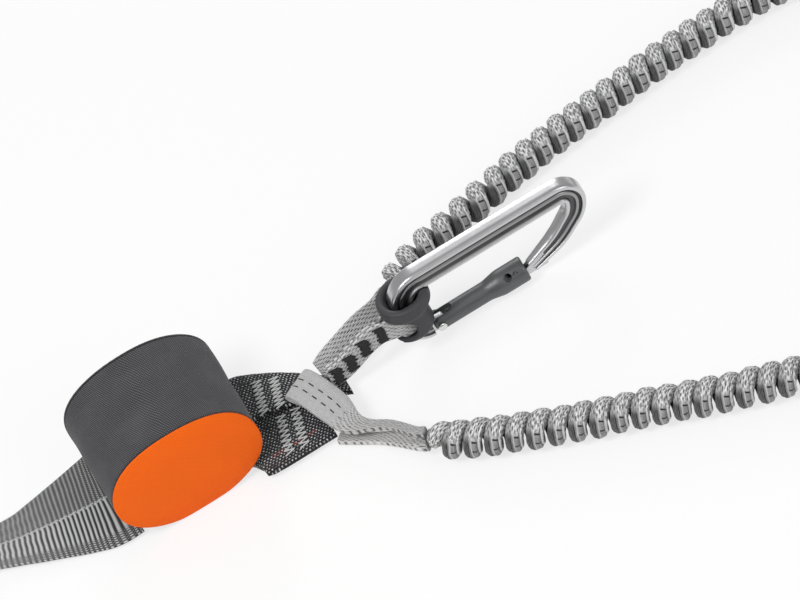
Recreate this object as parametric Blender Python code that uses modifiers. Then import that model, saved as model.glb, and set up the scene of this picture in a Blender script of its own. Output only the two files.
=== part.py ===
"""Via ferrata lanyard: a pouch with a tear-webbing absorber, a harness strap, two elastic arms with locking
connectors, and a short third arm with a rest carabiner. Metres, +Z up, resting on the ground at z = 0.
X runs from the harness side to the arms, and -Y is the pouch's orange front panel."""

import math

import bmesh
import bpy
import numpy as np
from mathutils import Matrix, Vector

GAP = 0.0003
OVERRUN = 0.004
MERGE = 0.00001

POUCH_LENGTH = 0.072
POUCH_DEPTH = 0.059
POUCH_HEIGHT = 0.050
POUCH_FLAT = 0.0006
POUCH_MIDDLE = POUCH_HEIGHT / 2 - POUCH_FLAT
POUCH_POWER_SHARE = 2.25
BAND_WALL = 0.0015
PANEL_THICKNESS = 0.002
PANEL_INSET = 0.0006
PANEL_CROWN = 0.0025
POUCH_MOUTH_MARGIN = 0.0012

PACK_LENGTH = 0.046
PACK_HEIGHT = 0.026
PACK_WIDTH = 0.040
PACK_WEBBING = 0.0022
PACK_FOLDS = 6

ZIP_LENGTH = 0.052
ZIP_TAPE_HEIGHT = 0.012
ZIP_TAPE_THICKNESS = 0.0008
ZIP_COIL_WIDTH = 0.0036
ZIP_COIL_THICKNESS = 0.0010
SLIDER_LENGTH = 0.0085
SLIDER_WIDTH = 0.0065
SLIDER_THICKNESS = 0.0026
SLIDER_STOP_MARGIN = 0.003
BRIDGE_HEIGHT = 0.0032
BRIDGE_BAR = 0.0012
PULL_LENGTH = 0.018
PULL_WIDTH = 0.0060
PULL_THICKNESS = 0.0012

HARNESS_WIDTH = 0.050
HARNESS_TUCK = 0.0060
HARNESS_THICKNESS = 0.0022
HARNESS_FOLDED_WIDTH = 0.022
HARNESS_FOLDED_THICKNESS = 0.0042
HARNESS_REACH = 0.074
HARNESS_SIDE = 0.0135
HARNESS_LOOP_LENGTH = 0.085
HARNESS_LOOP_WIDTH = 0.034
HARNESS_LOOP_WEBBING = 0.0024
HARNESS_LOOP_HEIGHT = 0.020
HARNESS_ROLL = math.radians(12)
HARNESS_LEVEL = HARNESS_WIDTH / 2 * math.sin(HARNESS_ROLL) + HARNESS_THICKNESS
HARNESS_LOW_LEVEL = HARNESS_FOLDED_THICKNESS
HARNESS_NECK_LEVEL = HARNESS_FOLDED_WIDTH / 2 + GAP

LEG_THICKNESS = 0.0030
LEG_WIDTH = 0.0260
LEG_LENGTH = 0.0575
LEG_LOWER_LEVEL = 0.0033
LEG_UPPER_LEVEL = 0.0072
LEG_BARTACK_SHARES = {
    "absorber_leg_upper": ((0.38, 0.06, 0.76), (0.51, -0.04, 0.68)),
    "absorber_leg_lower": ((0.395, -0.85, 0.90), (0.52, -0.88, 0.90)),
}
BARTACK_THREAD = 0.0005
BARTACK_WIDTH = 0.0046
BARTACK_SLANT_SHARE = 0.2
BARTACK_ZIGZAGS = 7

ARM_WEBBING = 0.0022
JUNCTION_WIDTH = 0.0163
JUNCTION_X = 0.0604
JUNCTION_Y = -0.0070
JUNCTION_RUN = 0.0345
JUNCTION_TAIL_LEVEL = 0.0026
UPPER_STRAP_START = (0.0714, -0.0054, 0.0112)
UPPER_STRAP_SAG = (0, -0.0040, 0.0010)
LEG_FOLDED_WIDTH = 0.0090
LEG_FOLDED_THICKNESS = 0.0042

TUBE_DIAMETER = 0.0080
HELIX_RADIUS = 0.0048
UPPER_PITCH = 0.00937
LOWER_PITCH = 0.00982
UPPER_PHASE_SHARE = 0.48
LOWER_PHASE_SHARE = 0.40
POINTS_A_CURL = 8
ARM_AXIS_HEIGHT = 0.0091
END_STRAIGHT = 0.0030
COIL_START = 0.0060
UPPER_ROUTE = [
    (0.1150, 0.0150),
    (0.1347, 0.0226),
    (0.1649, 0.0295),
    (0.1953, 0.0371),
    (0.2386, 0.0431),
    (0.2638, 0.0460),
    (0.3040, 0.0500),
    (0.3400, 0.0488),
    (0.3750, 0.0425),
    (0.4080, 0.0320),
    (0.4400, 0.0210),
    (0.4720, 0.0130),
    (0.5010, 0.0100),
    (0.5130, 0.0100),
]
LOWER_ROUTE = [
    (0.0970, -0.0742),
    (0.1092, -0.0853),
    (0.1422, -0.1061),
    (0.1786, -0.1250),
    (0.2128, -0.1432),
    (0.2386, -0.1555),
    (0.2700, -0.1682),
    (0.3050, -0.1775),
    (0.3420, -0.1826),
    (0.3800, -0.1845),
    (0.4200, -0.1845),
    (0.4550, -0.1845),
    (0.4850, -0.1845),
]

CONNECTOR_STRAP_LENGTH = 0.034
CONNECTOR_STRAP_WIDTH = 0.0110
CONNECTOR_STRAP_THICKNESS = 0.0018
CONNECTOR_KEEPER_WALL = 0.0018
CONNECTOR_KEEPER_LENGTH = 0.0120

REST_LENGTH = 0.0900
REST_WIDTH = 0.0335
REST_SECTION_DEPTH = 0.0104
REST_SECTION_THICKNESS = 0.0077
REST_PLANE_Y = -0.0130
REST_PIN_HEIGHT = 0.0068
REST_GATE_DIAMETER = 0.0095
REST_HEAD_DIAMETER = 0.0123
REST_GATE_REACH = 0.0440

LOCKER_LENGTH = 0.1220
LOCKER_WIDTH = 0.0620
LOCKER_SECTION_DEPTH = 0.0120
LOCKER_SECTION_THICKNESS = 0.0110
LOCKER_GATE_DIAMETER = 0.0110
LOCKER_HEAD_DIAMETER = 0.0130
LOCKER_GATE_REACH = 0.0640

TONGUE_THICKNESS = 0.0036
SLOT_CLEARANCE = 0.0004
PIN_RADIUS = 0.0014
PIN_HEAD_RADIUS = 0.0023
PIN_HEAD_HEIGHT = 0.0006
PIN_CLEARANCE = 0.0003
PIN_HOLE_RADIUS = PIN_RADIUS + PIN_CLEARANCE
GROOVE_DEPTH = 0.0016
GATE_BORE = 0.0056
SPRING_DIAMETER = 0.0040
SPRING_WIRE = 0.0007
SPRING_CURLS = 7
SPRING_LENGTH = 0.0150

LEVER_LENGTH = 0.0560
LEVER_THICKNESS = 0.0060
LEVER_TRAVEL_GAP = 0.0036
LEVER_EAR = 0.0018
LOCKER_LEVEL = LOCKER_SECTION_THICKNESS / 2 + GAP * 3 + LEVER_EAR
LOOP_POWER_SHARE = 4.0

KEEPER_HEIGHT = 0.0158
KEEPER_WALL = 0.0020
KEEPER_COLLAR_OVERHANG = 0.0022
KEEPER_COLLAR_HEIGHT = 0.0060
REST_STRAP_WIDTH = 0.0120
REST_STRAP_THICKNESS = 0.0016
REST_STRAP_LEVEL = 0.0119
REST_STRAP_RISE = 0.0076
REST_STRAP_LENGTH = 0.0538
REST_STRAP_START_X = POUCH_LENGTH * 0.30 + LEG_LENGTH * 0.903
REST_PIN_X = REST_STRAP_START_X + REST_STRAP_LENGTH
REST_BARTACK_SHARES = (0.16, 0.385, 0.65, 0.93)

DARK_FABRIC = ("dark_fabric", (0.125, 0.125, 0.133), 0.9, 0.0)
ORANGE_FABRIC = ("orange_fabric", (0.85, 0.17, 0.02), 0.85, 0.0)
GREY_WEBBING = ("grey_webbing", (0.33, 0.33, 0.33), 0.85, 0.0)
ARM_FABRIC = ("arm_webbing", (0.42, 0.42, 0.42), 0.85, 0.0)
BLACK_WEBBING = ("black_webbing", (0.03, 0.03, 0.03), 0.85, 0.0)
WHITE_THREAD = ("white_thread", (0.8, 0.8, 0.78), 0.8, 0.0)
BLACK_THREAD = ("black_thread", (0.02, 0.02, 0.02), 0.8, 0.0)
BLACK_RUBBER = ("black_rubber", (0.06, 0.06, 0.065), 0.7, 0.0)
SATIN_ALUMINIUM = ("satin_aluminium", (0.62, 0.62, 0.62), 0.32, 1.0)
DARK_ALUMINIUM = ("dark_aluminium", (0.13, 0.14, 0.14), 0.42, 1.0)
BRIGHT_STEEL = ("bright_steel", (0.7, 0.7, 0.7), 0.25, 1.0)


def clear_scene():
    for obj in list(bpy.data.objects):
        bpy.data.objects.remove(obj, do_unlink=True)


def new_collection(name, hidden=False):
    collection = bpy.data.collections.new(name)
    bpy.context.scene.collection.children.link(collection)
    collection.hide_render = hidden
    return collection


def material(name, colour, roughness, metallic):
    made = bpy.data.materials.get(name) or bpy.data.materials.new(name)
    made.use_nodes = True
    shader = made.node_tree.nodes["Principled BSDF"]
    shader.inputs["Base Color"].default_value = (*colour, 1.0)
    shader.inputs["Roughness"].default_value = roughness
    shader.inputs["Metallic"].default_value = metallic
    made.diffuse_color = (*colour, 1.0)
    return made


def place(obj, finish, parent=None):
    """Puts a finished object into the lanyard's collection with its material."""
    for collection in list(obj.users_collection):
        collection.objects.unlink(obj)
    PARTS.objects.link(obj)
    obj.data.materials.clear()
    obj.data.materials.append(material(*finish))
    obj.parent = parent
    return obj


def mesh_object(name, bm):
    bmesh.ops.recalc_face_normals(bm, faces=bm.faces)
    mesh = bpy.data.meshes.new(name)
    bm.to_mesh(mesh)
    bm.free()
    obj = bpy.data.objects.new(name, mesh)
    PARTS.objects.link(obj)
    return obj


def box(name, low, high):
    bm = bmesh.new()
    bmesh.ops.create_cube(bm, size=1)
    size = Vector(high) - Vector(low)
    middle = (Vector(high) + Vector(low)) / 2
    bmesh.ops.transform(bm, matrix=Matrix.Translation(middle) @ Matrix.Diagonal((*size, 1)), verts=bm.verts)
    return mesh_object(name, bm)


def rod(name, start, end, radius, sides=14):
    """A cylinder between two points."""
    start, end = Vector(start), Vector(end)
    bm = bmesh.new()
    bmesh.ops.create_cone(
        bm, cap_ends=True, segments=sides, radius1=radius, radius2=radius, depth=(end - start).length
    )
    turn = (end - start).to_track_quat("Z", "Y").to_matrix().to_4x4()
    bmesh.ops.transform(bm, matrix=Matrix.Translation((start + end) / 2) @ turn, verts=bm.verts)
    return mesh_object(name, bm)


def plate(name, outline, low, high):
    """A flat outline in X and Y, as a filled 2D curve extruded from low to high in Z."""
    curve = bpy.data.curves.new(name, "CURVE")
    curve.dimensions = "2D"
    curve.fill_mode = "BOTH"
    curve.extrude = (high - low) / 2
    spline = curve.splines.new("POLY")
    spline.points.add(len(outline) - 1)
    for point, (x, y) in zip(spline.points, outline):
        point.co = (x, y, 0, 1)
    spline.use_cyclic_u = True
    obj = bpy.data.objects.new(name, curve)
    PARTS.objects.link(obj)
    obj.location.z = (high + low) / 2
    return baked(obj)


def baked(obj):
    """The object's evaluated shape as a plain mesh object of the same name, with its doubles merged."""
    bpy.context.view_layer.update()
    graph = bpy.context.evaluated_depsgraph_get()
    mesh = bpy.data.meshes.new_from_object(obj.evaluated_get(graph))
    mesh.transform(obj.matrix_world)
    bm = bmesh.new()
    bm.from_mesh(mesh)
    bmesh.ops.remove_doubles(bm, verts=bm.verts, dist=MERGE)
    bmesh.ops.recalc_face_normals(bm, faces=bm.faces)
    bm.to_mesh(mesh)
    bm.free()
    name = obj.name
    bpy.data.objects.remove(obj, do_unlink=True)
    made = bpy.data.objects.new(name, mesh)
    PARTS.objects.link(made)
    return made


def boolean(target, other, operation):
    """Joins or cuts target with other by an exact Boolean, and puts the cutter away."""
    modifier = target.modifiers.new(other.name, "BOOLEAN")
    modifier.solver = "EXACT"
    modifier.operation = operation
    modifier.object = other
    result = baked(target)
    for collection in list(other.users_collection):
        collection.objects.unlink(other)
    CUTTERS.objects.link(other)
    other.hide_render = True
    other.display_type = "WIRE"
    return result


def joined(target, *others):
    for other in others:
        target = boolean(target, other, "UNION")
    return target


def cut(target, *cutters):
    for cutter in cutters:
        target = boolean(target, cutter, "DIFFERENCE")
    return target


def moved(obj, matrix):
    """Carries a finished local shape to its place with its mesh, not its object."""
    obj.data.transform(matrix)
    return obj


def shade_round(obj):
    obj.data.shade_smooth()
    obj.data.set_sharp_from_angle(angle=math.radians(35))
    return obj


def catmull_rom(knots, steps):
    """A smooth curve through rows of numbers, with this many steps from each row to the next."""
    knots = np.array(knots, float)
    knots = np.vstack([2 * knots[0] - knots[1], knots, 2 * knots[-1] - knots[-2]])
    t = np.linspace(0, 1, steps, endpoint=False)[:, None]
    runs = []
    for a, b, c, d in zip(knots, knots[1:], knots[2:], knots[3:]):
        runs.append(
            0.5 * (2 * b + (c - a) * t + (2 * a - 5 * b + 4 * c - d) * t**2 + (3 * b - a - 3 * c + d) * t**3)
        )
    return np.vstack([*runs, knots[-2:-1]])


def smooth_route(points, step):
    """A smooth curve through hand-chosen points, at an even step: distances, points and tangents."""
    fine = catmull_rom(points, 60)
    travelled = np.concatenate([[0], np.cumsum(np.linalg.norm(np.diff(fine, axis=0), axis=1))])
    count = max(2, int(round(travelled[-1] / step)) + 1)
    at = np.linspace(0, travelled[-1], count)
    even = np.stack([np.interp(at, travelled, fine[:, i]) for i in range(fine.shape[1])], axis=1)
    tangents = np.gradient(even, axis=0)
    tangents /= np.linalg.norm(tangents, axis=1)[:, None]
    return at, even, tangents


def smoothed(stations, steps=3):
    """A strap's stations with smooth ones added between them."""
    rows = [(*centre, *across, width, thickness) for centre, across, width, thickness in stations]
    return [(row[:3], row[3:6], row[6], row[7]) for row in catmull_rom(rows, steps)]


def rounded_corners(corners, radii, steps=3):
    """An open line through corners, with an arc of the given radius at each inner one."""
    line = [np.array(corners[0], float)]
    for before, corner, after, radius in zip(corners, corners[1:], corners[2:], radii):
        corner = np.array(corner, float)
        back = np.array(before, float) - corner
        ahead = np.array(after, float) - corner
        back /= np.linalg.norm(back)
        ahead /= np.linalg.norm(ahead)
        half = math.acos(float(np.clip(back @ ahead, -1, 1))) / 2
        reach = radius / math.tan(half)
        centre = corner + (back + ahead) / np.linalg.norm(back + ahead) * radius / math.sin(half)
        first, last = corner + back * reach - centre, corner + ahead * reach - centre
        start = math.atan2(first[1], first[0])
        sweep = (math.atan2(last[1], last[0]) - start + math.pi) % (2 * math.pi) - math.pi
        for i in range(steps + 1):
            angle = start + sweep * i / steps
            line.append(centre + radius * np.array([math.cos(angle), math.sin(angle)]))
    line.append(np.array(corners[-1], float))
    return line


def strap(name, stations, finish, edge_share=0.35, square=True):
    """A loft along stations of (centre, width direction, width, thickness), with chamfered edges.
    The width is kept square to the run, or just as given."""
    shoulder = 1 - edge_share
    ring_shares = [(1, shoulder - 0.15), (shoulder + 0.25, 1), (-shoulder - 0.25, 1), (-1, shoulder - 0.15)]
    ring_shares += [(-a, -b) for a, b in ring_shares]
    centres = [Vector(centre) for centre, *_ in stations]
    bm = bmesh.new()
    rings = []
    for i, (_, across, width, thickness) in enumerate(stations):
        tangent = (centres[min(i + 1, len(centres) - 1)] - centres[max(i - 1, 0)]).normalized()
        across = Vector(across)
        if square:
            across = across - across.dot(tangent) * tangent
        across.normalize()
        normal = tangent.cross(across).normalized()
        rings.append(
            [
                bm.verts.new(centres[i] + across * width / 2 * a + normal * thickness / 2 * b)
                for a, b in ring_shares
            ]
        )
    for ring, following in zip(rings, rings[1:]):
        for i in range(len(ring)):
            j = (i + 1) % len(ring)
            bm.faces.new((ring[i], ring[j], following[j], following[i]))
    bm.faces.new(rings[0])
    bm.faces.new(rings[-1])
    return place(mesh_object(name, bm), finish)


def helix_points(route, height, pitch, phase_share):
    """A curly arm's line: a right-handed helix round the route, straight along it for a little at each end.
    Returns the points and how many full curls it has."""
    flat = [(x, y, height) for x, y in route]
    at, even, tangents = smooth_route(flat, pitch / POINTS_A_CURL)
    length = at[-1]
    wound = length - 2 * END_STRAIGHT
    curls = wound / pitch
    rise = np.clip((at - END_STRAIGHT) / COIL_START, 0, 1)
    fall = np.clip((length - END_STRAIGHT - at) / COIL_START, 0, 1)
    radius = HELIX_RADIUS * np.sin(np.pi / 2 * np.minimum(rise, fall))
    angle = 2 * np.pi * ((at - END_STRAIGHT) / pitch + phase_share)
    up = np.array([0.0, 0.0, 1.0])
    side = np.cross(tangents, up)
    points = even + radius[:, None] * (np.cos(angle)[:, None] * up + np.sin(angle)[:, None] * side)
    return points, curls


def least_gap(points, diameter):
    """The least distance between the tube's surfaces at points over two diameters apart along the tube."""
    travelled = np.concatenate([[0], np.cumsum(np.linalg.norm(np.diff(points, axis=0), axis=1))])
    nearest = math.inf
    for point, distance in zip(points, travelled):
        others = points[travelled > distance + 2 * diameter]
        if len(others):
            nearest = min(nearest, float(np.min(np.linalg.norm(others - point, axis=1))))
    return nearest - diameter


def tube(name, points, diameter, finish, resolution=1):
    curve = bpy.data.curves.new(name, "CURVE")
    curve.dimensions = "3D"
    curve.bevel_depth = diameter / 2
    curve.bevel_resolution = resolution
    curve.use_fill_caps = True
    spline = curve.splines.new("POLY")
    spline.points.add(len(points) - 1)
    for point, co in zip(spline.points, points):
        point.co = (*co, 1)
    obj = bpy.data.objects.new(name, curve)
    PARTS.objects.link(obj)
    return place(obj, finish)


def pouch_outline(length, height, count=40):
    """The pouch's oval section, a superellipse that stands on the ground's height, in X and Z."""
    power = 2 / POUCH_POWER_SHARE
    line = []
    for i in range(count):
        angle = 2 * math.pi * i / count
        c, s = math.cos(angle), math.sin(angle)
        x = length / 2 * math.copysign(abs(c) ** power, c)
        z = POUCH_MIDDLE + height / 2 * math.copysign(abs(s) ** power, s)
        line.append((x, z))
    return line


def pouch_ring(name, outline_scales, ys):
    """A loft of the pouch's section along Y: one outline (length, height) for each y, closed at both ends."""
    bm = bmesh.new()
    rings = []
    for (length, height), y in zip(outline_scales, ys):
        rings.append([bm.verts.new((x, y, z)) for x, z in pouch_outline(length, height)])
    for ring, following in zip(rings, rings[1:]):
        for i in range(len(ring)):
            j = (i + 1) % len(ring)
            bm.faces.new((ring[i], ring[j], following[j], following[i]))
    bm.faces.new(rings[0])
    bm.faces.new(rings[-1])
    return mesh_object(name, bm)


def make_pouch():
    half = POUCH_DEPTH / 2
    inner = (POUCH_LENGTH - 2 * BAND_WALL, POUCH_HEIGHT - 2 * BAND_WALL)
    outer = (POUCH_LENGTH, POUCH_HEIGHT)
    band = pouch_ring("pouch_band", [outer, outer], [-half, half])
    hollow = pouch_ring("pouch_hollow", [inner, inner], [-half - OVERRUN, half + OVERRUN])
    ground = box(
        "pouch_ground",
        (-POUCH_LENGTH, -POUCH_DEPTH, -OVERRUN),
        (POUCH_LENGTH, POUCH_DEPTH, 0),
    )
    reach = POUCH_LENGTH / 2 + OVERRUN
    mouth_half = HARNESS_THICKNESS / 2 + GAP
    harness_mouth = box(
        "harness_mouth",
        (-reach, -HARNESS_WIDTH / 2 - POUCH_MOUTH_MARGIN, -mouth_half),
        (-reach / 2, HARNESS_WIDTH / 2 + POUCH_MOUTH_MARGIN, mouth_half),
    )
    moved(harness_mouth, Matrix.Translation((0, 0, HARNESS_LEVEL)) @ Matrix.Rotation(HARNESS_ROLL, 4, "X"))
    leg_clear = LEG_THICKNESS / 2 + POUCH_MOUTH_MARGIN
    absorber_mouth = box(
        "absorber_mouth",
        (POUCH_LENGTH * 0.20, -half + BAND_WALL * 2, LEG_LOWER_LEVEL - leg_clear),
        (reach, LEG_WIDTH, LEG_UPPER_LEVEL + leg_clear),
    )
    band = cut(band, hollow, ground, harness_mouth, absorber_mouth)
    place(shade_round(band), DARK_FABRIC)
    for name, side in (("front_panel", -1), ("rear_panel", 1)):
        make_panel(name, side, inner)


def make_panel(name, side, inner):
    """An oval fabric panel seated in the band's mouth, crowned outward, with a flat back."""
    outer_y = side * (POUCH_DEPTH / 2 - PANEL_INSET)
    back_y = outer_y - side * PANEL_THICKNESS
    full = (inner[0] - 2 * GAP, inner[1] - 2 * GAP)
    ys = [back_y, outer_y - side * PANEL_THICKNESS / 3]
    scales = [full, full]
    crown = PANEL_CROWN if side < 0 else 0
    for share in (0.96, 0.80, 0.55) if crown else (0.97,):
        scales.append((full[0] * share, full[1] * share))
        ys.append(outer_y + side * crown * (1 - share**2))
    panel = pouch_ring(name, scales, ys)
    ground = box(
        name + "_ground", (-POUCH_LENGTH, -POUCH_DEPTH, -OVERRUN), (POUCH_LENGTH, POUCH_DEPTH, 0)
    )
    place(shade_round(cut(panel, ground)), ORANGE_FABRIC if side < 0 else DARK_FABRIC)


def make_tear_webbing():
    """The absorber: webbing folded to and fro inside the pouch, as one serpentine band."""
    low = LEG_UPPER_LEVEL + LEG_THICKNESS / 2 + GAP
    pitch = (PACK_HEIGHT - PACK_WEBBING) / PACK_FOLDS
    turn = pitch / 2
    line = []
    for i in range(PACK_FOLDS + 1):
        z = low + PACK_WEBBING / 2 + pitch * i
        ends = [-PACK_LENGTH / 2 + turn, PACK_LENGTH / 2 - turn]
        if i % 2:
            ends.reverse()
        line += [(end, z) for end in ends]
        if i < PACK_FOLDS:
            outward = math.copysign(turn, ends[1])
            line += [
                (ends[1] + outward * math.cos(a), z + turn + turn * math.sin(a))
                for a in (-math.pi / 4, 0, math.pi / 4)
            ]
    stations = [((x, 0, z), (0, 1, 0), PACK_WIDTH, PACK_WEBBING) for x, z in line]
    strap("tear_webbing", stations, BLACK_WEBBING)


def make_zip():
    """The inspection zip straight across the rear panel: tape, slider and pull."""
    middle = POUCH_MIDDLE
    face = POUCH_DEPTH / 2 - PANEL_INSET + GAP
    tape = box(
        "zip_tape",
        (-ZIP_LENGTH / 2, face, middle - ZIP_TAPE_HEIGHT / 2),
        (ZIP_LENGTH / 2, face + ZIP_TAPE_THICKNESS, middle + ZIP_TAPE_HEIGHT / 2),
    )
    coil_half = ZIP_LENGTH / 2 - ZIP_COIL_WIDTH
    coil_face = face + ZIP_TAPE_THICKNESS + ZIP_COIL_THICKNESS
    coil = box(
        "zip_coil",
        (-coil_half, face + ZIP_TAPE_THICKNESS / 2, middle - ZIP_COIL_WIDTH / 2),
        (coil_half, coil_face, middle + ZIP_COIL_WIDTH / 2),
    )
    place(joined(tape, coil), BLACK_THREAD)
    top = face + ZIP_TAPE_THICKNESS + GAP
    start = -ZIP_LENGTH / 2 + SLIDER_STOP_MARGIN
    slider = box(
        "zip_slider",
        (start, top, middle - SLIDER_WIDTH / 2),
        (start + SLIDER_LENGTH, top + SLIDER_THICKNESS, middle + SLIDER_WIDTH / 2),
    )
    channel = box(
        "zip_channel",
        (start - OVERRUN, top - OVERRUN, middle - ZIP_COIL_WIDTH / 2 - GAP),
        (start + SLIDER_LENGTH + OVERRUN, top + ZIP_COIL_THICKNESS, middle + ZIP_COIL_WIDTH / 2 + GAP),
    )
    slider = cut(slider, channel)
    crest = top + SLIDER_THICKNESS + BRIDGE_HEIGHT
    feet = (start + BRIDGE_BAR, start + SLIDER_LENGTH - BRIDGE_BAR)
    bridge = box(
        "zip_bridge",
        (feet[0], top + SLIDER_THICKNESS - BRIDGE_BAR, middle - BRIDGE_BAR / 2),
        (feet[1], crest, middle + BRIDGE_BAR / 2),
    )
    window = box(
        "zip_bridge_window",
        (feet[0] + BRIDGE_BAR, top + SLIDER_THICKNESS, middle - BRIDGE_BAR),
        (feet[1] - BRIDGE_BAR, crest - BRIDGE_BAR, middle + BRIDGE_BAR),
    )
    place(joined(slider, cut(bridge, window)), BRIGHT_STEEL)
    make_zip_pull(start, top + SLIDER_THICKNESS, crest, middle)


def make_zip_pull(start, floor, crest, middle):
    """A flat pull whose eye is threaded by the slider's bridge. Its axis runs along the pouch's height."""
    axis_y = (floor + crest - BRIDGE_BAR) / 2
    eye_x = start + SLIDER_LENGTH / 2
    half = PULL_THICKNESS / 2
    outline = [
        (eye_x - half, -PULL_WIDTH / 2),
        (eye_x + PULL_LENGTH, -PULL_WIDTH / 2 * 0.7),
        (eye_x + PULL_LENGTH, PULL_WIDTH / 2 * 0.7),
        (eye_x - half, PULL_WIDTH / 2),
    ]
    pull = plate("zip_pull", outline, -half, half)
    eye = box(
        "zip_pull_eye",
        (eye_x + half, -PULL_WIDTH / 2 + PULL_THICKNESS, -PULL_THICKNESS),
        (eye_x + SLIDER_LENGTH / 2 + PULL_THICKNESS, PULL_WIDTH / 2 - PULL_THICKNESS, PULL_THICKNESS),
    )
    pull = cut(pull, eye)
    moved(pull, Matrix.Translation((0, axis_y, middle)) @ Matrix.Rotation(math.pi / 2, 4, "X"))
    place(pull, BRIGHT_STEEL)


def make_harness_strap():
    """Wide ribbed webbing that leaves the pouch, folds lengthwise and ends in the harness loop."""
    start_x = -POUCH_LENGTH / 2 + HARNESS_TUCK
    neck_x = -POUCH_LENGTH / 2 - HARNESS_REACH
    rows_shares = [
        (0.00, 0.00, 0.00, 0.00, 1.00, 0.00),
        (0.09, 0.00, 0.00, 0.00, 1.00, 0.05),
        (0.20, 0.12, 0.14, 0.10, 0.90, 0.30),
        (0.34, 0.30, 0.37, 0.25, 0.80, 0.60),
        (0.48, 0.48, 0.60, 0.45, 0.60, 0.80),
        (0.61, 0.68, 0.84, 0.70, 0.50, 1.00),
        (0.76, 0.95, 1.00, 1.00, 0.60, 0.90),
    ]
    run = start_x - neck_x
    stations = []
    for along, aside, narrow, fold, tilt, sink in rows_shares:
        width = HARNESS_WIDTH + (HARNESS_FOLDED_WIDTH - HARNESS_WIDTH) * narrow
        thickness = HARNESS_THICKNESS + (HARNESS_FOLDED_THICKNESS - HARNESS_THICKNESS) * fold
        roll = HARNESS_ROLL * tilt
        level = HARNESS_LEVEL + (HARNESS_LOW_LEVEL - HARNESS_LEVEL) * sink
        centre = (start_x - run * along, HARNESS_SIDE * aside, level)
        stations.append((centre, (0, math.cos(roll), math.sin(roll)), width, thickness))
    twist_shares = ((0.84, 0.35), (0.91, 0.75), (0.96, 1.0), (1.0, 1.0))
    for along, turned_share in twist_shares:
        roll = HARNESS_ROLL * 0.6 * (1 - turned_share) + math.pi / 2 * turned_share
        climb = math.sin(math.pi / 2 * turned_share)
        level = HARNESS_LOW_LEVEL + (HARNESS_NECK_LEVEL - HARNESS_LOW_LEVEL) * climb
        centre = (start_x - run * along, HARNESS_SIDE, level)
        stations.append(
            (centre, (0, math.cos(roll), math.sin(roll)), HARNESS_FOLDED_WIDTH, HARNESS_FOLDED_THICKNESS)
        )
    strap("harness_webbing", smoothed(stations, 2), GREY_WEBBING)
    make_harness_loop(neck_x - GAP)


def make_harness_loop(neck_x):
    """The girth-hitch loop: one band of webbing standing on edge, closed by a bartack at its neck."""
    half = HARNESS_LOOP_WIDTH / 2
    tail = HARNESS_LOOP_LENGTH
    corners = [
        (0, 0),
        (-tail * 0.16, 0),
        (-tail * 0.40, half),
        (-tail, half),
        (-tail, -half),
        (-tail * 0.40, -half),
        (-tail * 0.16, -HARNESS_LOOP_WEBBING - GAP),
        (0, -HARNESS_LOOP_WEBBING - GAP),
    ]
    radii = [half, half, half * 0.9, half * 0.9, half, half]
    line = rounded_corners(corners, radii)
    middle = HARNESS_LOOP_WEBBING / 2
    stations = [
        (
            (neck_x + x, HARNESS_SIDE + y + middle, HARNESS_LOOP_HEIGHT / 2),
            (0, 0, 1),
            HARNESS_LOOP_HEIGHT,
            HARNESS_LOOP_WEBBING,
        )
        for x, y in line
    ]
    strap("harness_loop", stations, GREY_WEBBING)
    for i, share in enumerate((0.05, 0.12)):
        x = neck_x - tail * share
        y = HARNESS_SIDE - HARNESS_LOOP_WEBBING * 1.5 - GAP * 1.5 - BARTACK_THREAD / 2
        line = [
            (x + across, y, HARNESS_LOOP_HEIGHT * (0.15 + 0.7 * share_up))
            for across, share_up in zigzag_shares(BARTACK_WIDTH)
        ]
        tube(f"harness_bartack_{i + 1}", line, BARTACK_THREAD * 2, BLACK_THREAD, resolution=0)


def zigzag_shares(width):
    """The corners of a bartack's zigzag: the place across its width, and the share of its length."""
    count = 2 * BARTACK_ZIGZAGS
    return [(width / 2 * (1 if k % 2 else -1), k / count) for k in range(count + 1)]


def make_absorber_legs():
    """The two black webbing legs of the absorber's end loops, each with two zigzag bartacks on top.
    They leave the pouch side by side, spread, and draw together at the junction."""
    start, span = POUCH_LENGTH * 0.30, LEG_LENGTH
    upper_shares = [
        (0.00, 0.24, 1.00, 1.0),
        (0.16, 0.27, 1.05, 1.0),
        (0.29, 0.29, 1.11, 1.0),
        (0.53, 0.06, 0.89, 1.0),
        (0.69, -0.14, 0.70, 0.95),
        (0.82, -0.30, 0.56, 0.68),
        (1.00, -0.58, 0.42, 0.50),
    ]
    lower_shares = [
        (0.00, -0.85, 0.29, 1.0),
        (0.06, -0.85, 0.29, 1.0),
        (0.12, -0.80, 0.90, 1.0),
        (0.18, -0.777, 1.31, 1.0),
        (0.69, -0.777, 1.33, 1.0),
    ]
    for name, rows, level in (
        ("absorber_leg_upper", upper_shares, LEG_UPPER_LEVEL),
        ("absorber_leg_lower", lower_shares, LEG_LOWER_LEVEL),
    ):
        stations = []
        for along, aside, wide, rise in rows:
            centre = (start + span * along, LEG_WIDTH * aside, level * rise)
            stations.append((centre, (0, 1, 0), LEG_WIDTH * wide, LEG_THICKNESS))
        if name == "absorber_leg_upper":
            stations = smoothed(stations, 2)
        strap(name, stations, BLACK_WEBBING, edge_share=0.3, square=False)
        for i, (along, aside, wide) in enumerate(LEG_BARTACK_SHARES[name]):
            z = level + LEG_THICKNESS / 2 + GAP + BARTACK_THREAD / 2
            line = []
            for across, share in zigzag_shares(BARTACK_WIDTH):
                run = LEG_WIDTH * wide * (share - 0.5)
                x = start + span * along + run * BARTACK_SLANT_SHARE + across
                line.append((x, LEG_WIDTH * aside + run, z))
            tube(f"{name}_bartack_{i + 1}", line, BARTACK_THREAD, WHITE_THREAD, resolution=0)


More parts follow.
